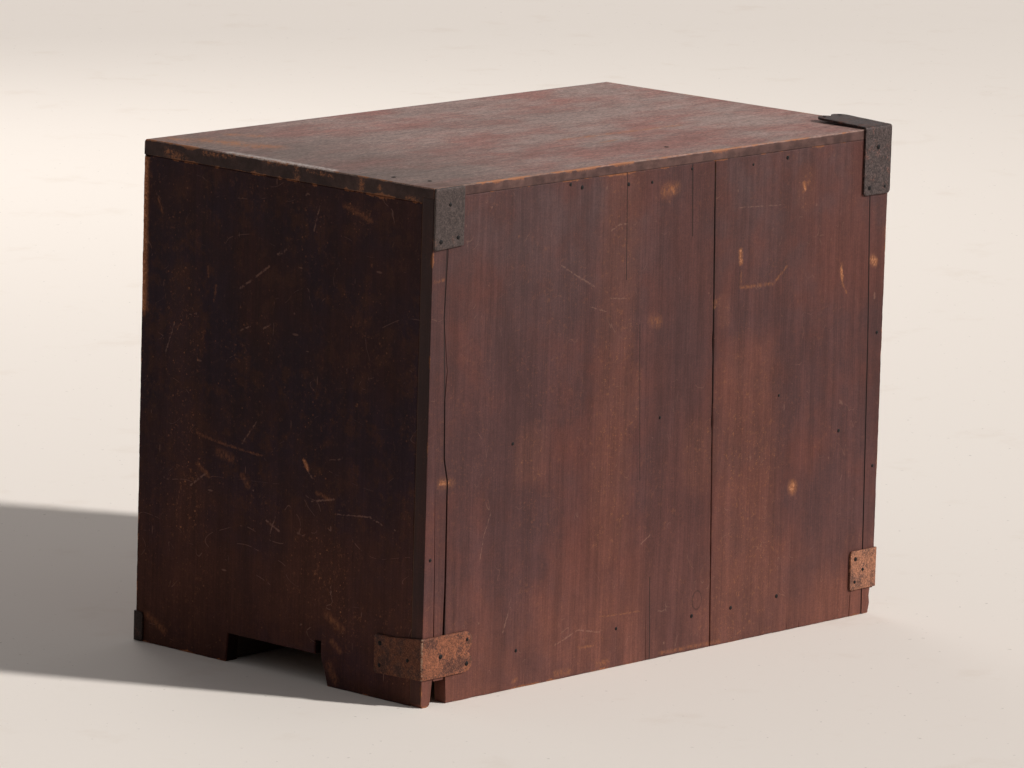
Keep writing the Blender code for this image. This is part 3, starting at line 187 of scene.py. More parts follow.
def new_piece(name, shape, material):
    """A finished piece in the chest's own coordinates, its object at the origin."""
    mesh = bpy.data.meshes.new(name)
    shape.to_mesh(mesh)
    shape.free()
    mesh.materials.append(material)
    return new_object(name, mesh)


paint = Finish("floor_paint", FLOOR_PAINT)
paint.lay(FLOOR_SCUFF, paint.share(paint.mottle(9, 5, 0.65), 0.56, 0.7, 0, 0.5))
paint.lay(FLOOR_SPECK, paint.share(paint.mottle(160, 1), 0.74, 0.8, 0, 0.45))
rough = paint.share(paint.mottle(1.3, 3), 0.3, 0.7, 0.38, 0.52)
shape = bmesh.new()
corners = [(-1, -1), (1, -1), (1, 1), (-1, 1)]
shape.faces.new([shape.verts.new((x * FLOOR_REACH, y * FLOOR_REACH, -FLOOR_DROP)) for x, y in corners])
new_piece("floor", shape, paint.close(rough, paint.mottle(55, 3), 0.12, 0.001, 0.0))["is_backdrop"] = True

# A pale wall stands behind the chest and the room is dark on the camera's side
world = bpy.data.worlds.new("room")
world.use_nodes = True
bpy.context.scene.world = world
room = Work(world.node_tree)
way = room.add("TexCoord", {})["Generated"]
rise = room.axes(way)["Z"]
behind = room.share(room.vector("DOT_PRODUCT", way, TO_WALL), 0, 0.45)
wall = room.times(behind, room.share(rise, 0.3, 0.65, 1, 0))
air = room.mix(room.share(rise, -0.1, 0.8), ROOM_DARK, ROOM_CEILING)
room.tree.links.new(room.mix(wall, air, ROOM_WALL), room.tree.nodes["Background"].inputs["Color"])


def add_lamp(name, kind, energy, colour, way, **settings):
    """A lamp that stands on the side that `way` points to, and shines back along it."""
    lamp = bpy.data.lights.new(name, kind)
    lamp.energy = energy
    lamp.color = colour
    for setting, value in settings.items():
        setattr(lamp, setting, value)
    holder = new_object(name, lamp)
    holder.rotation_euler = Vector(way).to_track_quat("Z", "Y").to_euler()
    return holder


add_lamp("window", "SUN", 3.5, (1, 0.985, 0.96), TO_WINDOW, angle=math.radians(4))
front_lamp = add_lamp("front_lamp", "AREA", 15, (1, 0.99, 0.97), TO_FRONT_LAMP, shape="DISK", size=1.6)
front_lamp.location = FRONT_LAMP_PLACE
front_lamp.visible_glossy = False


# --- The back: two upright planks
# Thin lacquered planks of a soft wood, nailed on from behind. They have shrunk and split along
# the grain, their arrises are rubbed and chewed, and scratches show the orange wood below.
LACQUER_RED = (0.106, 0.0355, 0.0275, 1)
LACQUER_PLUM = (0.076, 0.0325, 0.031, 1)
LACQUER_WARM = (0.152, 0.0555, 0.038, 1)
HAZE = (0.092, 0.053, 0.052, 1)
WORN_ORANGE = (0.3, 0.112, 0.046, 1)
WORN_BROWN = (0.17, 0.068, 0.036, 1)
WORN_BRIGHT = (0.44, 0.19, 0.095, 1)
SCRATCH_PALE = (0.25, 0.13, 0.098, 1)
STAIN_DARK = (0.016, 0.009, 0.008, 1)
BARE_WOOD = (0.26, 0.14, 0.072, 1)
BARE_WOOD_DARK = (0.17, 0.09, 0.046, 1)
# Marks on the back in millimetres: X and Z of each point of a line, or of a dot, and its width
BACK_PALE = (
    (74.6, 395.9, 64.3, 400.2, 53.8, 400.1, 1), (138.4, 371.4, 117.2, 359.5, 0.9),
    (117.2, 359.5, 94.6, 348.2, 1.1), (73.1, 335.3, 52, 333, 0.8), (101.6, 331.2, 73.8, 322.9, 0.7),
    (236.6, 437.4, 1.6), (230.1, 431.5, 1.5), (238.9, 337.3, 1.3), (231.1, 363.6, 1.2),
    (219.3, 164.3, 228.6, 143.3, 232.8, 121.7, 0.7), (200.7, 53.2, 192.6, 74.4, 0.9),
    (132.7, 31.7, 103, 40.9, 73.8, 34.9, 1), (6.2, 38.9, 1.5), (-12.5, 12.4, 1.4), (124, 42.1, 1.3),
    (24.1, 107, 11.1, 114.4, 0.8), (-202.5, 392, 1.6), (-208.4, 387.8, 1.6), (-225.5, 357.6, 1.8),
    (-289.6, 300.9, -289.8, 297.2, 1.8), (-96, 399.7, -157.9, 396.4, 0.7),
)
BACK_ORANGE = (
    (6, 424, -10, 426, 9), (17, 309.6, 9, 307.5, 9), (194.7, 402.7, 2.2), (299, 373.4, 286.6, 374.7, 2.2),
    (288.4, 193.5, 271.1, 197.4, 3.6), (-69, 318.2, -69.2, 313.6, 2), (-183.2, 406.8, -190, 414.4, 4),
    (-101.2, 340.3, -101.1, 328.4, 1.8), (-101.1, 326.4, -146, 325.3, 2.8), (-148, 326.3, -163.8, 339.1, 2),
    (-283.3, 334.1, -283.6, 330.4, 3), (131.5, 5.3, 112.8, 5, 5), (186, 6.5, 181, 8, 3), (76, 6.5, 62, 6, 5),
    (101.8, 24.7, 82, 23.6, 2), (284.5, 196.3, 272, 195.3, 8), (-7.6, 3.9, -89.1, 3.1, 3),
    (-99.6, 357.6, -100, 349.4, 1.8), (74.5, 48.6, 21.3, 46.5, 1.2), (-181.9, 133.2, -183, 131.6, 5.5),
    (-240.9, 333.9, -243.3, 315.1, 2.6), (-243.3, 315.1, -249.5, 306.1, 1.8),
)
BACK_DARK = (
    (56.2, 451.9, 53.3, 350, 0.8), (33.6, 307.7, 26.9, 166.3, 0.6), (-30.3, 444.7, -33.5, 380.6, 1.1),
    (9.3, 76, 6.3, 0, 0.9), (-61.2, 443, -68.2, 225, 1.7), (-68.2, 225, -69.8, 175, 0.9),
    (284.2, 423, 286.2, 340, 282.6, 266, 1.3), (282.6, 266, 281.4, 217, 276.9, 197, 1.4),
    (276.9, 197, 276.2, 107, 273.4, 0, 1.5), (-277, 414, -282.4, 258, -287.4, 0, 1.4),
)
# Small places where the lacquer is knocked right off
BACK_KNOCKED = (
    (-183, 133.8, -183.4, 132.2, 9), (-99.6, 360, -100.6, 349, 4), (-284.8, 333, -288, 330.5, 7),
    (-65.2, 318, -65.6, 312, 2.6), (285.4, 196, 276, 195.4, 3), (-184, 413, -186, 408, 3.4),
    (-240.9, 330, -242.5, 319, 2.8), (-3.2, 427, -6, 423, 3),
)
BACK_SHADE = ((-22, 0, -18, 440, 62),)
BACK_GLOW = (
    (68, 120, 62, 440, 34), (-120, 0, -115, 240, 60), (172, 214, 172, 200, 30), (-54, 186, -54, 168, 34),
    (-188, 400, -188, 420, 18), (2, 424, 14), (40, 262, 42, 225, 16), (-48, 196, -66, 180, 26),
    (-78, 316, -80, 300, 12),
)
BACK_NAILS = (
    (194.9, 220), (2.6, 220), (-159.5, 221), (183.4, 34), (52.3, 35), (-49.2, 32), (-102.6, 32),
    (-166.1, 34), (130, 442), (115, 438), (54, 435), (23, 434), (-30, 441), (-113, 437), (-160, 439),
    (-296, 139), (-295, 264), (295.8, 130), (-245.5, 178),
)
# The print of something round that once stood against the back: its centre, and 1 over its radii
BACK_RING = ((-0.0556, 0, 0.0458), (1 / 0.0062, 0, 1 / 0.0085))
# The planks' joint leans from its foot to its top
JOINT_FOOT_X = -0.0755
JOINT_TOP_X = -0.061
BACK_HEIGHT = 0.445
# How far a board's box is let in past the arrises that keep their lacquer
LET_IN = 0.02
# An arris shorter than the least stays sharp, and a worn one is cut into steps
LEAST_ARRIS = 0.006
WEAR_STEP = 0.003


def merged_shape(name):
    """A copy of a node's mesh with its loose triangles made into whole faces."""
    shape = bmesh.new()
    shape.from_mesh(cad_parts[name].data)
    bmesh.ops.remove_doubles(shape, verts=shape.verts[:], dist=2e-5)
    flat = math.radians(0.5)
    bmesh.ops.dissolve_limit(shape, angle_limit=flat, verts=shape.verts[:], edges=shape.edges[:])
    return shape


def bevel(shape, edges, width, segments):
    return bmesh.ops.bevel(
        shape, geom=edges, offset=width, segments=segments, profile=0.5, affect="EDGES", clamp_overlap=True
    )


def nearest_on(point, line):
    start, end = line
    along = end - start
    return start + along * min(max((point - start).dot(along) / along.length_squared, 0), 1)


def put_on(piece, name, body):
    """Lets a finished piece take the place of a node of the chest."""
    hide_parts(name)
    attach(piece, body)


def worn_copy(
    name, material, arris, chew, outward, joint=None, rounded=(), body="carcass"
):
    """A board whose outer arrises have been rubbed round and chewed.

    `outward` lists the box faces, as (axis, 0 or 1), whose arrises take wear, and `joint` says of
    a point whether it lies on an arris that isn't on the box. `rounded` lists pairs of box faces
    whose arris was made round, with its radius.
    """
    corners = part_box(name)
    shape = merged_shape(name)

    def faces_at(point):
        sides = [(axis, side) for axis in range(3) for side in (0, 1)]
        return {(axis, side) for axis, side in sides if abs(point[axis] - corners[side][axis]) < 1.5e-4}

    def takes_wear(edge):
        first, second = (end.co for end in edge.verts)
        if edge.calc_length() < LEAST_ARRIS or len(edge.link_faces) != 2 or edge.calc_face_angle(0) < 0.5:
            return False
        both = faces_at(first) & faces_at(second)
        return both & set(outward) and (len(both) > 1 or joint and joint(first) and joint(second))

    for pair, radius in rounded:
        edges = [edge for edge in shape.edges if all(set(pair) <= faces_at(end.co) for end in edge.verts)]
        bevel(shape, edges, radius, 4)
    chosen = [edge for edge in shape.edges if takes_wear(edge)]
    lines = [tuple(end.co.copy() for end in edge.verts) for edge in chosen]
    # The long edges of the bevel's strips, in families that run side by side
    strips, beside = [], {}
    for face in bevel(shape, chosen, arris, 2)["faces"]:
        edges = sorted(face.edges, key=lambda edge: -edge.calc_length())[:2]
        apart = not set(edges[0].verts) & set(edges[1].verts)
        if len(face.verts) == 4 and edges[1].calc_length() > 1.6 * WEAR_STEP and apart:
            strips.append(edges)
            beside.setdefault(edges[0], []).append(edges[1])
            beside.setdefault(edges[1], []).append(edges[0])
    rows = {}
    for first in beside:
        family, waiting = [], [first]
        while waiting:
            edge = waiting.pop()
            if edge not in rows:
                family.append(edge)
                rows[edge] = []
                waiting += beside[edge]
        if not family:
            continue
        way = family[0].verts[1].co - family[0].verts[0].co
        count = max(1, round(sum(edge.calc_length() for edge in family) / len(family) / WEAR_STEP))
        for edge in family:
            last, far = sorted(edge.verts, key=lambda end: end.co.dot(way))
            rest = edge
            for index in range(count - 1):
                last = bmesh.utils.edge_split(rest, last, 1 / (count - index))[1]
                rows[edge].append(last)
                rest = next(link for link in last.link_edges if far in link.verts)
    for edge, other in strips:
        for first, second in zip(rows[edge], rows[other]):
            shared = [face for face in first.link_faces if face in second.link_faces]
            if shared:
                bmesh.utils.face_split(min(shared, key=lambda face: face.calc_area()), first, second)
    for vertex in shape.verts:
        feet = [nearest_on(vertex.co, line) for line in lines]
        away, foot = min(((vertex.co - foot).length, foot) for foot in feet)
        if away > 1.7 * arris:
            continue
        rough = noise.noise(vertex.co * 90) + 0.7 * noise.noise(vertex.co * 310)
        bite = max(noise.noise(vertex.co * 41 + Vector((3, 7, 5))) - 0.28, 0) * 4
        vertex.co = foot + (vertex.co - foot) * max(0.25, 1 + chew * (rough + bite))
    bmesh.ops.recalc_face_normals(shape, faces=shape.faces[:])
    put_on(new_piece(name + "_worn", shape, material), name, body)


class Group(Work):
    """A node group that materials share, with named sockets."""

    def __init__(self, name, outputs, **inputs):
        super().__init__(bpy.data.node_groups.new(name, "ShaderNodeTree"))
        for label, value in {"Place": (0, 0, 0), **inputs}.items():
            kind = "NodeSocketVector" if isinstance(value, tuple) else "NodeSocketFloat"
            self.tree.interface.new_socket(label, in_out="INPUT", socket_type=kind).default_value = value
        for label in outputs:
            self.tree.interface.new_socket(label, in_out="OUTPUT", socket_type="NodeSocketFloat")
        self.come = self.tree.nodes.new("NodeGroupInput").outputs
        self.go = self.tree.nodes.new("NodeGroupOutput").inputs
        self.place = self.come["Place"]

    def send(self, label, value):
        self.tree.links.new(value, self.go[label])

    def on(self, work, place=None, **inputs):
        """What the group puts out when it is used in a material."""
        return work.add("Group", {"Place": place or work.place, **inputs}, node_tree=self.tree)


# Grain along Z: fine streaks, broad bands and the drawn-out pores between them
grains = Group("grain", ("Streak", "Band", "Pore"))
sway = grains.times(grains.mottle((3, 3, 2.2), 1), 0.012)
sway = grains.add("CombineXYZ", {"X": sway})[0]
grains.place = grains.vector("ADD", grains.place, sway)
grains.send("Streak", grains.mottle((520, 520, 6), 3, 0.65))
grains.send("Band", grains.mottle((24, 24, 1.3), 2))
grains.send("Pore", grains.mottle((1500, 1500, 40), 1))

# How worn a board is near its arrises: the middle one of the three distances to its faces
wear = Group("arris_wear", ("Worn",), Low=(0, 0, 0), High=(1, 1, 1), Reach=0.003)
from_low = wear.vector("SUBTRACT", wear.place, wear.come["Low"])
inner = wear.axes(wear.vector("MINIMUM", from_low, wear.vector("SUBTRACT", wear.come["High"], wear.place)))
greater = wear.reckon("MAXIMUM", inner[0], inner[1])
middle = wear.reckon(
    "MAXIMUM", wear.reckon("MINIMUM", inner[0], inner[1]), wear.reckon("MINIMUM", greater, inner[2])
)
patchy = wear.share(wear.mottle(30, 4, 0.65), 0.48, 0.7, 0.05, 1.6)
limit = wear.times(patchy, wear.times(wear.mottle(420, 3, 0.6), 2))
limit = wear.reckon("MAXIMUM", wear.times(wear.come["Reach"], limit), 0.0001)
wear.send("Worn", wear.share(wear.reckon("DIVIDE", middle, limit), 0.55, 1.1, 1, 0))

# One stroke of a mark, a line from Start along Run, laid over the strokes so far. Nearness is
# 1 on the line and falls off by Thinness for each metre from it.
stroke = Group(
    "stroke", ("Nearness",), Start=(0, 0, 0), Run=(0, 0, 0), Scale=1, Thinness=-1000, Before=0
)
start_off = stroke.vector("SUBTRACT", stroke.place, stroke.come["Start"])
passed = stroke.times(stroke.vector("DOT_PRODUCT", start_off, stroke.come["Run"]), stroke.come["Scale"])
passed = stroke.reckon("MINIMUM", stroke.reckon("MAXIMUM", passed, 0), 1)
foot = stroke.add("VectorMath", {0: stroke.come["Run"], "Scale": passed}, operation="SCALE")["Vector"]
near = stroke.plus(stroke.vector("DISTANCE", start_off, foot), stroke.come["Thinness"], 1)
stroke.send("Nearness", stroke.reckon("MAXIMUM", near, stroke.come["Before"]))

# Small flecks, one in some of the cells of a random net
flecks = Group("flecks", ("Mask",), Scale=60, Rarity=0.7, Size=0.15)
cells = flecks.add("TexVoronoi", {"Vector": flecks.place, "Scale": flecks.come["Scale"]})
chance = flecks.add("SeparateColor", {0: cells["Color"]})
there = flecks.reckon("GREATER_THAN", chance[0], flecks.come["Rarity"])
size = flecks.reckon("ADD", flecks.times(chance[1], chance[1]), 0.15)
size = flecks.reckon("DIVIDE", cells["Distance"], flecks.times(flecks.come["Size"], size))
flecks.send("Mask", flecks.times(there, flecks.share(size, 0.5, 1, 1, 0)))

# Hair scratches: thin curved lines that start and break off anywhere
hairs = Group("hair_scratches", ("Mask",), Scale=14, Rarity=0.56)
turn = {"Vector": hairs.place, "Rotation": (0.5, 0.7, 0.4), "Scale": (1, 0.35, 0.6)}
swirl = hairs.mottle(hairs.come["Scale"], 1.5, 0.5, 0.7, hairs.add("Mapping", turn)[0])
off = hairs.reckon("ABSOLUTE", hairs.reckon("SUBTRACT", swirl, 0.5))
there = hairs.mottle(hairs.times(hairs.come["Scale"], 2.6), 2, 0.6)
there = hairs.share(hairs.reckon("SUBTRACT", there, hairs.come["Rarity"]), 0, 0.05)
hairs.send("Mask", hairs.times(hairs.share(off, 0.0006, 0.003, 1, 0), there))


def marks(work, table, axes, ragged=0.0012, soft=0.65):
    """The mask of a table of strokes drawn in the plane of two axes."""
    keep = [1 if axis in axes else 0 for axis in "XYZ"]
    jitter = work.add("TexNoise", {"Vector": work.place, "Scale": 420, "Detail": 2})["Color"]
    jitter = work.vector("MULTIPLY", work.vector("SUBTRACT", jitter, (0.5, 0.5, 0.5)), (2 * ragged,) * 3)
    flat = work.vector("MULTIPLY", work.vector("ADD", work.place, jitter), keep)
    whole = 0.0
    for *line, width in table:
        points = []
        for pair in zip(line[::2], line[1::2]):
            place = dict(zip(axes, pair))
            points.append(Vector([place.get(axis, 0) / 1000 for axis in "XYZ"]))
        for first, last in zip(points, points[1:] or points):
            run = last - first
            scale = 1 / max(run.length_squared, 1e-9)
            sent = {"Start": first, "Run": run, "Scale": scale, "Thinness": -1000 / width}
            whole = stroke.on(work, flat, **sent, Before=whole)["Nearness"]
    return work.share(whole, 0, soft)


def turned(work, grain):
    """The place turned so that the wood's grain runs along Z."""
    if grain == "Z":
        return work.place
    turn = {"X": (0, math.pi / 2, 0), "Y": (math.pi / 2, 0, 0)}[grain]
    return work.add("Mapping", {"Vector": work.place, "Rotation": turn})[0]


def lacquer(
    name, low, high, grain="Z", reach=0.002, bare_side=None, orange=(), pale=(), dark=(), axes="XZ",
    haze=(0.26, 0.44, 0.75), haze_and_shade_tint=HAZE, blotch=0.0, warm=(0.14, 0.0, 0.75), tone=1.0, shade=(), glow=(),
    knocked=(), ring=None, scratched=1.0, struck_off=0.62, dots=(0.62, 0.2, 0.32),
    nicks=(260, 0.8, 0.09, 0.4), foot=1.0, corners=(), sheen=0.16,
):
    """Old lacquer on one board. `bare_side` is (axis, level, side): wood beyond that level is bare.

    `foot` is how much lighter the board's foot is. `corners` lists parts whose colour is scaled
    by a level: painted shade, or a lift out of it. A part lies beyond each of its (axis, level,
    side), with X counted outwards.
    """
    coat = Finish(name, LACQUER_PLUM)
    where, lay, vary, mix = coat.where, coat.lay, coat.vary, coat.mix
    share, mottle, times, reckon = coat.share, coat.mottle, coat.times, coat.reckon
    along = turned(coat, grain)
    grained = grains.on(coat, along)
    streak = grained["Streak"]
    cloud = mottle(8, 4, 0.65)
    lay(LACQUER_RED, share(cloud, 0.36, 0.64))
    # On the back this layer is dust; on the side boards it is a painted shade tint over the whole board.
    haze_and_shade_mask = share(where["Z"], haze[0], haze[1], 0, haze[2])
    lay(haze_and_shade_tint, times(haze_and_shade_mask, share(cloud, 0.62, 0.35, 0.25, 1)))
    warmth = share(where["Z"], warm[0], warm[1], 0, warm[2])
    lay(LACQUER_WARM, times(warmth, share(cloud, 0.35, 0.65, 0.4, 1)))
    if blotch:
        lay(LACQUER_WARM, share(mottle(36, 5, 0.8), 0.5, 0.62, 0, blotch))
    crowded = share(mottle(13, 4, 0.7), 0.42, 0.66, 0.25, 1)
    if shade:
        lay(LACQUER_PLUM, marks(coat, shade, axes), 0.5)
    if glow:
        glowing = marks(coat, glow, axes)
        lay(LACQUER_WARM, glowing, 0.36)
        crowded = coat.plus(glowing, 1.0, crowded)
    # `tone` scales the whole coat; on the side boards it is painted shade.
    vary(grained["Band"], 0.35, 0.07, tone)
    vary(streak, 0.25, 0.14)
    vary(mottle((95, 95, 9), 5, 0.75, place=along), 0.35, 0.12)
    vary(mottle(30, 5, 0.75), 0.35, 0.07)
    vary(mottle((120, 120, 900), 2), 0.3, 0.03)
    vary(mottle(1100, 2), 0.3, 0.12)

    rare, wide, strength = dots
    dotted = flecks.on(coat, Scale=230, Rarity=rare, Size=wide)["Mask"]
    lay(WORN_ORANGE, times(dotted, crowded), strength)
    flecked = flecks.on(coat, Scale=90, Rarity=0.84, Size=0.12)["Mask"]
    lay(WORN_ORANGE, flecked, 0.5 * scratched)
    rubbed = share(mottle(230, 4, 0.85), 0.54, 0.7)
    lay(WORN_ORANGE, times(rubbed, crowded), 0.7 * strength)
    scale, rare, wide, strength = nicks
    for turn, stretch in (((0.4, 0.5, 0.3), (1, 0.16, 0.55)), ((-0.9, 0.3, 0.5), (0.4, 1, 0.14))):
        drawn = coat.add("Mapping", {"Vector": coat.place, "Rotation": turn, "Scale": stretch})[0]
        lay(SCRATCH_PALE, flecks.on(coat, drawn, Scale=scale, Rarity=rare, Size=wide)["Mask"], strength)
    lay(SCRATCH_PALE, hairs.on(coat, Scale=30, Rarity=0.53)["Mask"], 0.26 * scratched)
    bare = wear.on(coat, Low=low, High=high, Reach=reach)["Worn"]
    if orange:
        broken = share(mottle((330, 330, 260), 4, 0.7), 0.38, 0.58, 0.12, 1)
        struck = times(marks(coat, orange, axes, 0.0016, 1.0), broken)
        bare = reckon("MAXIMUM", bare, times(struck, struck_off))
    wood = mix(share(streak, 0.3, 0.7), WORN_ORANGE, WORN_BROWN)
    if knocked:
        # Only the board's outer face is knocked
        axis, level, side = bare_side
        face = (high if side > 0 else low)["XYZ".index(axis)]
        outside = share(where[axis], face - side * 0.003, face - side * 0.0015)
        gone = times(marks(coat, knocked, axes, 0.0018, 0.9), outside)
        bare = reckon("MAXIMUM", bare, gone)
        wood = mix(times(gone, share(mottle(500, 2), 0.45, 0.62)), wood, WORN_BRIGHT)
    lay(wood, bare, 0.8)
    if pale:
        scraped = times(marks(coat, pale, axes), share(mottle(260, 2), 0.35, 0.6))
        lay(SCRATCH_PALE, scraped, 0.38)
    if ring:
        away = coat.vector("MULTIPLY", coat.vector("SUBTRACT", coat.place, ring[0]), ring[1])
        off = reckon("ABSOLUTE", reckon("SUBTRACT", coat.vector("LENGTH", away), 1))
        lay(STAIN_DARK, share(off, 0.04, 0.16, 0.45, 0))
    if dark:
        lay(STAIN_DARK, marks(coat, dark, axes, 0.0004), 0.8)
    if bare_side:
        axis, level, side = bare_side
        inside = share(where[axis], level - 0.0002, level + 0.0002, *((1, 0) if side > 0 else (0, 1)))
        lay(mix(share(streak, 0.2, 0.8), BARE_WOOD, BARE_WOOD_DARK), inside)
    coat.shade(where["Z"], 0.02, 0.25, foot, 1)
    for limits, shade_level in corners:
        inside = 1.0
        for axis, level, side in limits:
            out = reckon("ABSOLUTE", where["X"]) if axis == "X" else where[axis]
            inside = reckon("MINIMUM", inside, share(out, level - side * 0.0003, level + side * 0.0003))
        coat.shade(inside, 0, 1, 1, shade_level)
    worn = times(bare, 0.8)
    rough = reckon("ADD", share(streak, 0.2, 0.8, 0.49, 0.63), times(bare, 0.25))
    height = reckon("ADD", streak, times(grained["Pore"], 0.5))
    return coat.close(rough, reckon("SUBTRACT", height, worn), 0.3, 0.0004, sheen)


def on_joint(point):
    """Whether the point lies along the leaning joint between the planks."""
    joint_x = JOINT_FOOT_X + (JOINT_TOP_X - JOINT_FOOT_X) * point.z / BACK_HEIGHT
    return abs(point.x - joint_x) < 0.004


# The planks' joint and their inner arrises keep their lacquer
for name in ("back_board_wide", "back_board_narrow"):
    low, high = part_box(name)
    inner_face, end = low.y, max(abs(low.x), abs(high.x))
    low.y -= LET_IN
    # Each plank's end at the chest's corner is darkened: partly the dark joint with the side board, partly
    # painted shade.
    material = lacquer(
        name + "_lacquer", low, high, "Z", 0.0016, ("Y", inner_face + 0.0003, 1),
        BACK_ORANGE, BACK_PALE, BACK_DARK, tone=0.84, shade=BACK_SHADE, glow=BACK_GLOW,
        knocked=BACK_KNOCKED, ring=BACK_RING, foot=1.16, corners=(([("X", end - 0.0006, 1)], 0.42),),
    )
    worn_copy(name, material, 0.0008, 0.6, [(1, 1)], on_joint)


# --- The side boards
# Each is one upright plank with a notch sawn in its foot. The lacquer is scratched down to the
# orange wood all over, and rubbed off in a strip along the front arris.
SIDE_ORANGE = (
    (76.2, 426.8, 108.8, 418, 5), (-89.7, 351, -89.4, 342.2, 2), (-79.2, 335.5, -81.3, 321.8, 2.2),
    (66.3, 63.3, 84.6, 53.7, 6.5), (72.7, 40.8, 82.7, 33.9, 5), (70.5, 18.3, 78.1, 6, 7),
    (-100, 200, -62, 195, 2.2), (-62, 195, -18, 192, 1.8), (-72, 187, -56, 184, 7), (-98, 173, -84, 164, 4),
    (-42, 171, -34, 162, 4), (50, 170, 66, 166, 3), (-159.2, 25.7, -135.6, 14.3, 6),
    (-154.1, 405.1, -147.4, 389.9, 2), (-169.5, 436, -169.5, 297, 4), (-167, 364, -165.3, 301.2, 3),
    (110.2, 379.8, 110.2, 378.1, 2), (96.4, 255.2, 96.4, 253.4, 1.6),
)
SIDE_PALE = (
    (-49.4, 336.9, -14.2, 361.2, 1.4), (-3.6, 373.3, 6.1, 379, 1.8), (-141.5, 265.8, -130.8, 294.3, 1),
    (39.5, 400.1, 46.1, 422.9, 1), (-42.8, 199.5, -26, 220.8, 0.9), (35.2, 192.8, 44.1, 181.7, 1.5),
    (-106.6, 151.8, -84.4, 167.9, 1.2), (-27.9, 159.7, 1.5), (44.8, 161.4, 75.1, 168, 1.2),
    (75.5, 154.7, 115.3, 158.4, 129.9, 153.7, 0.9), (-11, 135.5, 5.3, 128.2, 1.2),
    (-5.7, 124.7, 0, 139.9, 1), (145.5, 151.8, 1.4), (70.3, 89.8, 70.7, 79.2, 1.2),
    (-48.2, 299.7, -36, 305, 1), (-21.1, 304.4, -11.4, 310.2, 1), (-103.5, 307.1, 1.4), (-163.7, 241.8, 1.4),
    (17.6, 324.1, 1.4), (72.3, 399.2, 1.2),
)
SIDE_KNOCKED = ((-170.4, 437, -170.4, 303, 6.4), (34, 195.5, 38.5, 189, 3.0))
SIDE_GLOW = ((94, 424, 94, 420, 22), (-120, 330, -110, 120, 30), (60, 120, 90, 60, 30))
# The side boards are painted in shade: the film colour below is the purplish hue the side shows in shade,
# and the tone of 0.295 in the call below darkens the whole coat.
SIDE_SHADE_TINT = (0.065, 0.032, 0.056, 1)
# The side board's front face is lifted back out of the side's painted shade, and the inner faces round the
# notch are painted darker still, as shade in the recess.
FRONT_FACE_SHADE_LIFT = 3.3
NOTCH_PAINTED_SHADE = 0.3
for name, hand in (("right_side_board", 1), ("left_side_board", -1)):
    low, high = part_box(name)
    high.y += LET_IN
    inner_face, outer_face = (low.x, high.x) if hand > 0 else (high.x, low.x)
    inside = ("X", abs(outer_face) - 0.002, -1)
    # Painted shade: the side's tint is spread over the whole board and its coat is darkened.
    material = lacquer(
        name + "_lacquer", low, high, "Z", 0.0022, ("X", inner_face + hand * 0.0003, hand),
        SIDE_ORANGE, SIDE_PALE, (), "YZ", haze=(-0.2, -0.1, 0.8), haze_and_shade_tint=SIDE_SHADE_TINT, blotch=0.7,
        warm=(0.26, 0.06, 1.0), tone=0.295, glow=SIDE_GLOW, knocked=SIDE_KNOCKED, scratched=1.1,
        struck_off=0.5, dots=(0.45, 0.25, 0.32), nicks=(170, 0.4, 0.12, 0.3), foot=1.52, sheen=0.08,
        corners=(
            ([inside, ("Y", low.y + 0.0007, -1)], FRONT_FACE_SHADE_LIFT),
            ([inside, ("Y", low.y + 0.02, 1), ("Z", 0.055, -1)], NOTCH_PAINTED_SHADE),
        ),
    )
    # The notch's arrises are worn too
    outward = [(0, 1 if hand > 0 else 0)]
    worn_copy(name, material, 0.0009, 0.6, outward, lambda point: True)


# --- The top
# A thick plank, its grain across the chest. Years of dust and damp have turned its lacquer a
# greyish pink, made greyer by a painted sheen, and its arrises are the most chewed of all.
TOP_ROSE = (0.268, 0.126, 0.106, 1)
TOP_GREY_DUST_AND_SHEEN = (0.288, 0.2, 0.176, 1)
TOP_DULL = (0.15, 0.108, 0.093, 1)
TOP_HAIR = (0.42, 0.34, 0.31, 1)
TOP_WORN = (0.38, 0.15, 0.062, 1)
TOP_STAINED = (0.11, 0.052, 0.036, 1)
TOP_SCRAPED = (0.5, 0.43, 0.4, 1)
EDGE_DARK = (0.062, 0.03, 0.026, 1)
EDGE_BROWN = (0.1, 0.052, 0.044, 1)
# Marks on the top by X and Y, and on its edges by Y and Z
TOP_ORANGE = (
    (286, -158, 262, -118, 22), (268, -135, 250, -70, 24), (226, -142, 212, -122, 12),
    (-7, 90.8, -38.1, 84.3, 4), (9, 57, -148.6, 60.6, 6), (60, 180, -190, 180.5, 2.2),
    (250, 180.5, 60, 180.5, 1.2),
)
TOP_PALE = ((301, -68, 301, 56, 9), (1.9, -170, -5.7, -168, 2.5))
TOP_STAIN = ((296, 168, 280, 172, 16), (-290, 150, -268, 176, 14))
TOP_EDGE_ORANGE = (
    (-143, 447, -120, 440, 8), (-24, 454, -5, 453, 4), (95, 452, 95, 441, 6), (117, 448, 117, 442, 4),
    (150, 443, 162, 443, 4), (16.5, 454, 16.5, 439, 5), (-100, 451, -60, 452, 3), (30, 452, 60, 450, 2.5),
)

low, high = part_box("top_board")
top = Finish("top_lacquer", TOP_ROSE)
lay, vary, shade = top.lay, top.vary, top.shade
share, mottle, times, reckon = top.share, top.mottle, top.times, top.reckon
grained = grains.on(top, turned(top, "X"))
streak = grained["Streak"]
cloud = mottle((7, 13, 13), 5, 0.7)
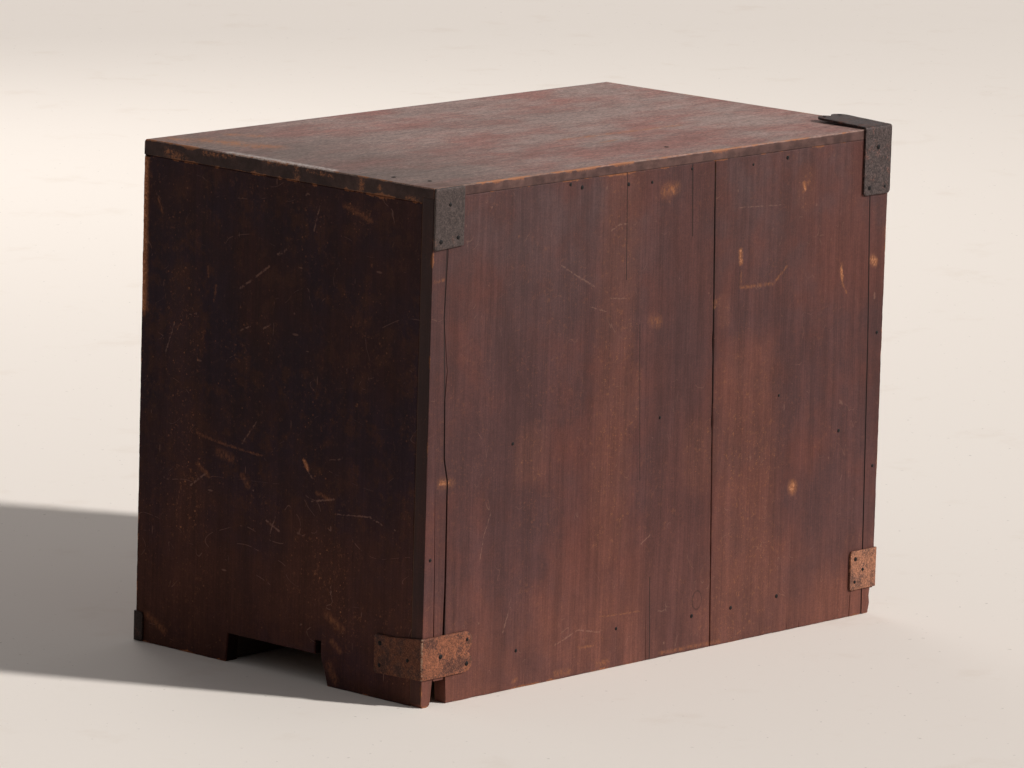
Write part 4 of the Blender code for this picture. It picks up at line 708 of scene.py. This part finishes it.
# The grey laid over the top is partly dust and partly a painted sheen.
lay(TOP_GREY_DUST_AND_SHEEN, share(cloud, 0.36, 0.62))
dull = share(top.where["X"], 0.06, 0.31, 0, 0.9)
lay(TOP_DULL, times(dull, share(cloud, 0.3, 0.6, 0.6, 1)))
vary(grained["Band"], 0.35, 0.06)
shade(top.where["X"], -0.28, 0.02, 1.12, 1)
vary(streak, 0.25, 0.14)
vary(mottle((45, 190, 190), 5, 0.8), 0.36, 0.2)
vary(mottle((240, 560, 560), 4, 0.85), 0.34, 0.34)
lay(TOP_HAIR, hairs.on(top, Scale=26, Rarity=0.5)["Mask"], 0.25)
broken = share(mottle((200, 420, 420), 4, 0.7), 0.36, 0.58)
islands = share(mottle(60, 5, 0.8), 0.42, 0.6, 0.28, 1)
struck = times(marks(top, TOP_ORANGE, "XY", 0.006, 1.0), times(broken, islands))
bare = wear.on(top, Low=low, High=high, Reach=0.0024)["Worn"]
lay(TOP_WORN, reckon("MAXIMUM", times(bare, 0.7), times(struck, 0.95)))
lay(TOP_STAINED, marks(top, TOP_STAIN, "XY", 0.004, 1.0), 0.5)
lay(TOP_SCRAPED, times(marks(top, TOP_PALE, "XY", 0.002), broken), 0.8)
# The edges kept their dark lacquer, except where they were knocked
face_colour = top.colour
top.colour = EDGE_DARK
lay(EDGE_BROWN, share(cloud, 0.4, 0.6))
vary(mottle(60, 5, 0.7), 0.35, 0.3)
# The top's end faces over the chest's sides are painted darker, as shade, like the side boards.
shade(reckon("ABSOLUTE", top.where["X"]), high.x - 0.0035, high.x - 0.002, 1, 0.48)
crumbled = share(mottle(260, 5, 0.85), 0.44, 0.6)
knocked = times(marks(top, TOP_EDGE_ORANGE, "YZ", 0.003, 1.0), crumbled)
lay(WORN_ORANGE, reckon("MAXIMUM", times(bare, 0.7), knocked), 0.8)
level = top.plus(mottle(90, 3), 0.0016, top.where["Z"])
lay(face_colour, share(level, high.z - 0.0008, high.z + 0.0002))
height = reckon("SUBTRACT", streak, times(bare, 0.8))
worn_copy(
    "top_board", top.close(share(streak, 0.2, 0.8, 0.56, 0.72), height, 0.4, 0.0005, 0.2),
    0.0012, 0.8, [(2, 1), (2, 0), (1, 1)],
    rounded=((((1, 0), (2, 1)), 0.004), (((0, 0), (1, 0)), 0.0035), (((0, 1), (1, 0)), 0.0035)),
)


# --- The shelves, the divider, the bottom, the stretcher and the rail
# Housed boards of a lighter wood, left bare inside, and the stretcher between the rear feet,
# painted near black as the shade under the chest. Only the front rail and the shelves' front
# edges were lacquered.
PLAIN_PALE = (0.33, 0.19, 0.1)
PLAIN_DARK = (0.2, 0.105, 0.055)
PLAIN_STAIN = (0.12, 0.065, 0.042, 1)


def bare_wood(name, grain, edge_y=None, tone=1.0):
    """Plain old wood; where edge_y is given, lacquer covers what lies before that level."""
    pale, dark = ((*[part * tone for part in colour], 1) for colour in (PLAIN_PALE, PLAIN_DARK))
    wood = Finish(name, pale)
    grained = grains.on(wood, turned(wood, grain))
    streak = grained["Streak"]
    wood.lay(dark, wood.share(streak, 0.25, 0.75))
    wood.shade(grained["Band"], 0.35, 0.65, 0.82, 1.12)
    wood.lay(PLAIN_STAIN, wood.share(wood.mottle(12, 4, 0.6), 0.52, 0.72, 0, 0.5))
    if edge_y is not None:
        edge = wood.share(wood.where["Y"], edge_y, edge_y + 0.0006, 1, 0)
        rubbed = wood.share(wood.mottle((14, 90, 160), 4, 0.7), 0.6, 0.72, 1, 0.5)
        coat = wood.mix(wood.share(streak, 0.3, 0.7), LACQUER_PLUM, LACQUER_RED)
        wood.lay(coat, wood.times(edge, rubbed))
    height = wood.reckon("ADD", streak, grained["Pore"])
    return wood.close(wood.share(streak, 0.2, 0.8, 0.62, 0.78), height, 0.4, 0.0004)


def refinish(name, material):
    """Gives a carried-over piece its finish, in each of its slots."""
    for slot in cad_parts[name].material_slots:
        slot.link = "DATA"
        slot.material = material


front_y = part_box("middle_shelf")[0].y
edge_y = front_y + 0.0004
shelf_wood = bare_wood("shelf_wood", "X", edge_y)
for name in ("bottom_board", "middle_shelf", "upper_shelf", "lower_shelf"):
    refinish(name, shelf_wood)
# The stretcher's very low tone is painted shade: it stands in deep shade under the chest.
refinish("foot_stretcher", bare_wood("stretcher_wood", "X", tone=0.16))
refinish("lower_divider", bare_wood("divider_wood", "Z", edge_y))
material = lacquer("rail_lacquer", *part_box("base_rail"), "X", 0.0022)
worn_copy("base_rail", material, 0.0008, 0.6, [(1, 0)])


# --- The drawers
# A lacquered front on a box of thin bare boards: the sides are combed into the front and the
# back, and the bottom slides in a groove.
def add_front(name, body, grain):
    """A front board: old lacquer on its face, without haze or warmth, and bare wood behind."""
    low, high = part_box(name)
    bare_side = ("Y", low.y + 0.0025, -1)
    no_haze = (0.5, 0.6, 0)
    lacquer_name = name.replace("_board", "") + "_lacquer"
    material = lacquer(lacquer_name, low, high, grain, 0.0022, bare_side, haze=no_haze, warm=(-1, -2, 0))
    worn_copy(name, material, 0.0009, 0.5, [(1, 0)], body=body)


for drawer in ("top_drawer", "middle_drawer", "small_drawer_upper", "small_drawer_lower"):
    side_wood = bare_wood(drawer + "_side_wood", "Y", tone=1.05)
    board_wood = bare_wood(drawer + "_board_wood", "X", tone=0.95)
    refinish(drawer + "_left_side", side_wood)
    refinish(drawer + "_right_side", side_wood)
    refinish(drawer + "_back", board_wood)
    refinish(drawer + "_bottom", board_wood)
    add_front(drawer + "_front", drawer + "_body", "X")


# --- The door
# One lacquered board on two hinges, rebated over the divider. Its face is finished like the
# drawers' fronts, with the grain upright.
add_front("door_board", "door_body", "Z")


# --- The irons on the corners
# Hand-forged straps and plates, nailed on with a skin of rust; the rear straps are bent cold
# round the corners, and the near one is rubbed bright orange at its bend, which also carries a
# painted highlight.
PIT_DARK = (0.018, 0.01, 0.009, 1)
BEND_WEAR_AND_HIGHLIGHT = (0.4, 0.25, 0.17, 1)


def iron_finish(name, dark, rust, amount, contrast=1.0, sides=None):
    """Rusty iron: `dark` is its old skin, `rust` the rust over it, and `amount` how much there is.

    `sides` darkens the leg on a side board as painted shade; the arris at the chest's corner is
    rubbed bright, and a highlight is painted on it.
    """
    iron = Finish(name, dark)
    lay, shade, share, mottle = iron.lay, iron.shade, iron.share, iron.mottle
    times, plus, reckon = iron.times, iron.plus, iron.reckon
    cloud = mottle(90, 5, 0.7)
    grit = mottle(900, 3, 0.6)
    rusted = share(plus(grit, 0.35, cloud), 0.86 - amount * 0.4, 1.04 - amount * 0.4)
    lay(rust, rusted)
    iron.vary(mottle(240, 4, 0.7), 0.34, 0.22 * contrast)
    iron.vary(grit, 0.32, 0.3 * contrast)
    bright = times(share(mottle(330, 4, 0.7), 0.58, 0.7, 0, 0.6), rusted)
    lay((rust[0] * 1.7, rust[1] * 1.75, rust[2] * 1.6, 1), bright)
    if sides is not None:
        # The chest's rear corners stand where X, counted outwards, less Y is 0.122
        out_x, out_y = reckon("ABSOLUTE", iron.where["X"]), iron.where["Y"]
        # Painted shade on the leg on the side board, and on the bend a colour that is partly rubbed iron,
        # partly painted highlight.
        shade(reckon("SUBTRACT", out_x, out_y), 0.1215, 0.123, 1, sides)
        bend = reckon("MINIMUM", share(out_x, 0.3032, 0.3048), share(out_y, 0.1812, 0.183))
        lay(BEND_WEAR_AND_HIGHLIGHT, times(bend, share(mottle(300, 3, 0.7), 0.42, 0.58)))
    shade(mottle(700, 3, 0.8), 0.34, 0.66, 1 - 0.3 * contrast, 1 + 0.4 * contrast)
    pits = share(mottle(620, 2), 0.64, 0.72, 0, 0.6 * contrast)
    lay(PIT_DARK, pits)
    height = reckon("SUBTRACT", plus(grit, 0.5, cloud), times(pits, 0.6))
    rough = share(rusted, 0, 1, 0.56, 0.85)
    return iron.close(rough, height, 0.6, 0.0006, 0.3, share(rusted, 0, 0.6, 0.35, 0.0))


def forged_copy(name, material, dent=0.00016, grain=0.0028, soft=0.00035, body="carcass"):
    """An iron with its arrises softened and its flats left uneven by the hammer."""
    shape = merged_shape(name)
    sharp = [edge for edge in shape.edges if len(edge.link_faces) == 2 and edge.calc_face_angle(0) > 0.9]
    bevel(shape, [edge for edge in sharp if edge.is_convex and edge.calc_length() > 0.0012], soft, 1)
    bmesh.ops.triangulate(shape, faces=shape.faces[:])
    for _ in range(6):
        long = [edge for edge in shape.edges if edge.calc_length() > grain * 1.5]
        if not long:
            break
        bmesh.ops.subdivide_edges(shape, edges=long, cuts=1)
        bmesh.ops.triangulate(shape, faces=shape.faces[:])
    bmesh.ops.recalc_face_normals(shape, faces=shape.faces[:])
    shape.normal_update()
    for vertex in shape.verts:
        swell = noise.noise(vertex.co * 95) + 0.5 * noise.noise(vertex.co * 260)
        vertex.co += vertex.normal * dent * swell
    put_on(smooth(new_piece(name + "_forged", shape, material), 38), name, body)


def smooth(piece, degrees=35):
    piece.data.shade_smooth()
    piece.data.set_sharp_from_angle(angle=math.radians(degrees))
    return piece


# The near strap's leg on the side board is painted in shade.
NEAR_RUST = iron_finish(
    "near_strap_rust", (0.095, 0.036, 0.024, 1), (0.19, 0.066, 0.034, 1), 0.75, sides=0.55
)
FAR_RUST = iron_finish("far_strap_rust", (0.15, 0.068, 0.046, 1), (0.27, 0.115, 0.066, 1), 0.75)
TOP_RUST = iron_finish("top_strap_rust", (0.064, 0.046, 0.043, 1), (0.125, 0.056, 0.043, 1), 0.45, 1.2)
PLATE_RUST = iron_finish("plate_rust", (0.062, 0.045, 0.041, 1), (0.095, 0.05, 0.038, 1), 0.3, 0.9)
FRONT_RUST = iron_finish("front_iron_rust", (0.034, 0.021, 0.018, 1), (0.085, 0.036, 0.024, 1), 0.45)
for corner, rust in (
    ("foot_right", NEAR_RUST), ("foot_left", FAR_RUST), ("top_left", TOP_RUST), ("top_right", PLATE_RUST),
):
    forged_copy(f"rear_{corner}_iron", rust)
for corner in ("foot_left", "top_left", "foot_right", "top_right"):
    forged_copy(f"front_{corner}_iron", FRONT_RUST, 0.0001)


# --- The nails
# Small hand-made nails with low uneven heads, driven through the irons and the back planks.
# Their heads have rusted nearly black.
NAIL_UNEVEN = 0.0009
# The chest's pieces lie this far apart, and the irons' faces lie this far out
GAP = 0.0003
IRON_OUT = GAP + 0.002
FRONT_IRON_OUT = GAP + 0.0015
SIDE_X = 0.303
TOP_Z = 0.455
# The strap's leg that has sprung up over the top
SPRUNG_Y = 0.12685
SPRUNG_UP = 0.0045

# Sets a head on each point, turned to face out and a little different each time
heads = Work(bpy.data.node_groups.new("nail_heads", "GeometryNodeTree"))
for label, kind in (
    ("Geometry", "Geometry"), ("Radius", "Float"), ("Height", "Float"), ("Uneven", "Float"), ("Seed", "Int"),
    ("Iron", "Material"),
):
    heads.tree.interface.new_socket(label, in_out="INPUT", socket_type="NodeSocket" + kind)
heads.tree.interface.new_socket("Geometry", in_out="OUTPUT", socket_type="NodeSocketGeometry")
come = heads.tree.nodes.new("NodeGroupInput").outputs
add = heads.add
head = add("GeometryNodeMeshUVSphere", {"Segments": 11, "Rings": 6, "Radius": 1})["Mesh"]
facing = add("GeometryNodeInputNamedAttribute", {"Name": "facing"}, data_type="FLOAT_VECTOR")[0]
facing = add("FunctionNodeAlignRotationToVector", {"Vector": facing}, axis="Z")["Rotation"]
spin = add("FunctionNodeRandomValue", {2: 0, 3: 2 * math.pi, "Seed": come["Seed"]}, data_type="FLOAT")[1]
spin = add("FunctionNodeAxisAngleToRotation", {"Axis": (0, 0, 1), "Angle": spin})["Rotation"]
turn = {"Rotation": facing, "Rotate By": spin}
way = add("FunctionNodeRotateRotation", turn, rotation_space="LOCAL")[0]
size = add("FunctionNodeRandomValue", {2: 0.8, 3: 1.2, "Seed": come["Seed"]}, data_type="FLOAT")[1]
wide = heads.times(size, come["Radius"])
scale = add("CombineXYZ", {"X": wide, "Y": wide, "Z": come["Height"]})[0]
inputs = {"Points": come["Geometry"], "Instance": head, "Rotation": way, "Scale": scale}
real = add("GeometryNodeInstanceOnPoints", inputs)[0]
real = add("GeometryNodeRealizeInstances", {"Geometry": real})[0]
dents = add("TexNoise", {"Vector": add("GeometryNodeInputPosition", {})[0], "Scale": 700})["Color"]
dents = heads.vector("SUBTRACT", dents, (0.5, 0.5, 0.5))
dents = add("VectorMath", {0: dents, "Scale": come["Uneven"]}, operation="SCALE")[0]
real = add("GeometryNodeSetPosition", {"Geometry": real, "Offset": dents})[0]
real = add("GeometryNodeSetMaterial", {"Geometry": real, "Material": come["Iron"]})[0]
heads.tree.links.new(real, heads.tree.nodes.new("NodeGroupOutput").inputs[0])


def drive_nails(name, places, radius, height, seed=1):
    """Makes one mesh of nail heads. `places` lists (point, the direction that the head faces)."""
    mesh = bpy.data.meshes.new(name + "_points")
    mesh.from_pydata([point for point, facing in places], [], [])
    facing = mesh.attributes.new("facing", "FLOAT_VECTOR", "POINT")
    for item, (point, way) in zip(facing.data, places):
        item.vector = way
    holder = new_object(name + "_points", mesh)
    modifier = holder.modifiers.new("heads", "NODES")
    modifier.node_group = heads.tree
    values = {"Radius": radius, "Height": height, "Uneven": NAIL_UNEVEN, "Seed": seed, "Iron": NAIL_RUST}
    for item in heads.tree.interface.items_tree:
        if item.in_out == "INPUT" and item.name in values:
            modifier[item.identifier] = values[item.name]
    made = bpy.data.meshes.new_from_object(holder.evaluated_get(bpy.context.evaluated_depsgraph_get()))
    bpy.data.objects.remove(holder)
    made.shade_smooth()
    piece = new_object(name, made)
    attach(piece, "carcass")


NAIL_RUST = iron_finish("nail_rust", (0.0045, 0.003, 0.003, 1), (0.012, 0.006, 0.0045, 1), 0.3, 0.6)
back_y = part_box("back_board_wide")[1].y
driven = [((x / 1000, back_y, z / 1000), (0, 1, 0)) for x, z in BACK_NAILS]
drive_nails("back_board_nails", driven, 0.0017, 0.0005)
driven = [
    ((x / 1000, back_y + IRON_OUT, z / 1000), (0, 1, 0))
    for x, z in (
        (248.5, 32.5), (248.5, 54), (282, 43.25), (-274, 32.5), (-274, 54), (-284.75, 43.25),
        (-295.5, 400.5), (-274, 400.5), (-284.75, 437.64), (295.2, 408.2), (273.7, 410.2), (284.45, 439.7),
    )
]
for hand in (-1, 1):
    for y, z in ((132.85, 30.5), (132.85, 50), (166.35, 40.25)):
        driven.append(((hand * (SIDE_X + IRON_OUT), y / 1000, z / 1000), (hand, 0, 0)))
    for x, z in ((265.5, 8), (265.5, 19.5), (295.5, 13.75), (266, 446.5), (295, 446.5), (295, 416.5)):
        driven.append(((hand * x / 1000, front_y - FRONT_IRON_OUT, z / 1000), (0, -1, 0)))
for x in (-295.5, -274):
    driven.append(((x / 1000, SPRUNG_Y, TOP_Z + SPRUNG_UP), (0, 0, 1)))
for x, y in ((285.5, 116.6), (276, 150.3), (-38, 143)):
    driven.append(((x / 1000, y / 1000, TOP_Z), (0, 0, 1)))
drive_nails("iron_nails", driven, 0.002, 0.0006, seed=4)


# --- The pulls
# Each bail is drawn out to a thicker grip and swings in the eyes of two split pins; the pins'
# legs go through a thin lobed plate and the drawer front and are spread behind it.
WIRE = 0.0011
PIN_GAP = 0.00015
PIN_LEG = 0.0075
PLATE_THICKNESS = 0.0012
PLATE_HALF_HEIGHT = 0.0125
PLATE_MARGIN = 0.013
DRAWER_FRONT = 0.016
BAIL_REACH = 0.038
BAIL_DROP = 0.034
BAIL_THIN = 0.0021
GRIP_THICK = 0.0029
SHOULDER = 0.005
TIP = 0.0035
EYE_RADIUS = 0.0035
EYE_Y = -0.17905


def sweep(shape, path, radii, normal, sides, closed=False):
    """Draws a round section along a flat path; `normal` is the direction square to the path."""
    normal = Vector(normal)
    rings = []
    for index, place in enumerate(path):
        if closed:
            before, after = path[index - 1], path[(index + 1) % len(path)]
        else:
            before, after = path[max(index - 1, 0)], path[min(index + 1, len(path) - 1)]
        across = (Vector(after) - Vector(before)).normalized().cross(normal)
        turns = [2 * math.pi * side / sides for side in range(sides)]
        out = [(across * math.cos(turn) + normal * math.sin(turn)) * radii[index] for turn in turns]
        rings.append([shape.verts.new(Vector(place) + away) for away in out])
    for index in range(len(path) if closed else len(path) - 1):
        ring, following = rings[index], rings[(index + 1) % len(path)]
        for side in range(sides):
            after = (side + 1) % sides
            shape.faces.new((ring[side], ring[after], following[after], following[side]))
    if not closed:
        shape.faces.new(rings[0])
        shape.faces.new(reversed(rings[-1]))
    bmesh.ops.recalc_face_normals(shape, faces=shape.faces[:])


def curve_points(centre, radius, start, end, steps):
    turns = [math.radians(start + (end - start) * index / steps) for index in range(steps + 1)]
    return [(centre[0] + radius * math.cos(turn), centre[1] + radius * math.sin(turn)) for turn in turns]


def lobed_plate(shape, centre_x, centre_z):
    """A thin plate with two round lobes at each end, its front arris eased."""
    reach = BAIL_REACH + PLATE_MARGIN
    radius = PLATE_HALF_HEIGHT / 2
    end = curve_points((reach - radius, -radius), radius, -90, 50, 9)
    end.append((reach - radius * 0.72, 0))
    end += curve_points((reach - radius, radius), radius, -50, 90, 9)
    outline = end + [(-along, level) for along, level in reversed(end)]
    rows = []
    for y in (front_y - GAP - PLATE_THICKNESS, front_y - GAP):
        rows.append([shape.verts.new((centre_x + along, y, centre_z + level)) for along, level in outline])
    front_face = shape.faces.new(rows[0])
    shape.faces.new(reversed(rows[1]))
    for index in range(len(outline)):
        after = (index + 1) % len(outline)
        shape.faces.new((rows[0][index], rows[1][index], rows[1][after], rows[0][after]))
    bevel(shape, list(front_face.edges), PLATE_THICKNESS * 0.3, 1)


def split_pin(shape, x, z):
    """A pin of folded wire: its eye stands before the front and its legs are spread behind it."""
    gap = WIRE + PIN_GAP
    leg_y = front_y + DRAWER_FRONT + GAP + WIRE
    start = math.degrees(math.asin(gap / EYE_RADIUS))
    flat = [(leg_y, gap + PIN_LEG), (leg_y + 0.0002, gap + 0.0015), (leg_y - 0.0007, gap)]
    lower = [(y, -level) for y, level in reversed(flat)]
    flat += curve_points((EYE_Y, 0), EYE_RADIUS, start, 360 - start, 28) + lower
    sweep(shape, [(x, y, z + level) for y, level in flat], [WIRE] * len(flat), (1, 0, 0), 12)


PULL_IRON = iron_finish("pull_iron", (0.03, 0.024, 0.023, 1), (0.08, 0.038, 0.027, 1), 0.3, 0.7)
PLATE_IRON = iron_finish("pull_plate_iron", (0.034, 0.026, 0.025, 1), (0.085, 0.04, 0.028, 1), 0.35, 0.7)
pulls = [(drawer, side) for drawer in ("top_drawer", "middle_drawer") for side in ("_left", "_right")]
for drawer, side in pulls + [("small_drawer_upper", ""), ("small_drawer_lower", "")]:
    name = drawer + side + "_pull"
    low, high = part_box(name)
    centre_x = (low.x + high.x) / 2
    pull_z = low.z + GRIP_THICK + BAIL_DROP
    shape = bmesh.new()
    lobed_plate(shape, centre_x, pull_z)
    for hand in (-1, 1):
        split_pin(shape, centre_x + hand * BAIL_REACH, pull_z)
    put_on(smooth(new_piece(name + "_plate_and_pins", shape, PLATE_IRON)), name + "_plate", drawer + "_body")

    # From the tip in the eye, round the shoulder, down to the middle of the grip, and back up
    half = [(BAIL_REACH - TIP, 0)]
    half += curve_points((BAIL_REACH + TIP, -SHOULDER), SHOULDER, 90, 0, 8)
    power = 2 / 2.8
    for index in range(1, 24):
        turn = math.pi / 2 * index / 24
        across = (BAIL_REACH + TIP + SHOULDER) * math.cos(turn) ** power
        half.append((across, -SHOULDER - (BAIL_DROP - SHOULDER) * math.sin(turn) ** power))
    outline = half + [(0, -BAIL_DROP)] + [(-across, down) for across, down in reversed(half)]
    path = [(centre_x + across, EYE_Y, pull_z + down) for across, down in outline]
    radii = [BAIL_THIN + (GRIP_THICK - BAIL_THIN) * (down / BAIL_DROP) ** 2 for across, down in outline]
    shape = bmesh.new()
    sweep(shape, path, radii, (0, 1, 0), 18)
    put_on(smooth(new_piece(name + "_bail_piece", shape, PULL_IRON)), name, name + "_bail")


# --- The door's hinges, lock plate, ring and bolt
# Butt hinges with lobed leaves, a plate round the keyhole, and a drop ring in a split pin. They
# are cut from thinner sheet than the corner irons, so the hammer left them flatter.
RING_RADIUS = 0.0135
RING_WIRE = 0.0016
SHEET_DENT = 0.00004
SHEET_GRAIN = 0.004
SHEET_SOFT = 0.0002
for name in (
    "upper_hinge_case_leaf", "upper_hinge_door_leaf", "lower_hinge_case_leaf", "lower_hinge_door_leaf",
    "door_lock_plate",
):
    body = "carcass" if "case" in name else "door_body"
    forged_copy(name, FRONT_RUST, SHEET_DENT, SHEET_GRAIN, SHEET_SOFT, body)
low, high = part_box("door_ring")
ring_x, ring_y, ring_z = ((first + last) / 2 for first, last in zip(low, high))
circle = curve_points((ring_x, ring_z), RING_RADIUS, 0, 360, 48)[:-1]
shape = bmesh.new()
sweep(shape, [(x, ring_y, z) for x, z in circle], [RING_WIRE] * 48, (0, 1, 0), 16, closed=True)
put_on(smooth(new_piece("door_ring_piece", shape, PULL_IRON)), "door_ring", "door_ring_body")
refinish("door_lock_bolt", PULL_IRON)


low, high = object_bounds()
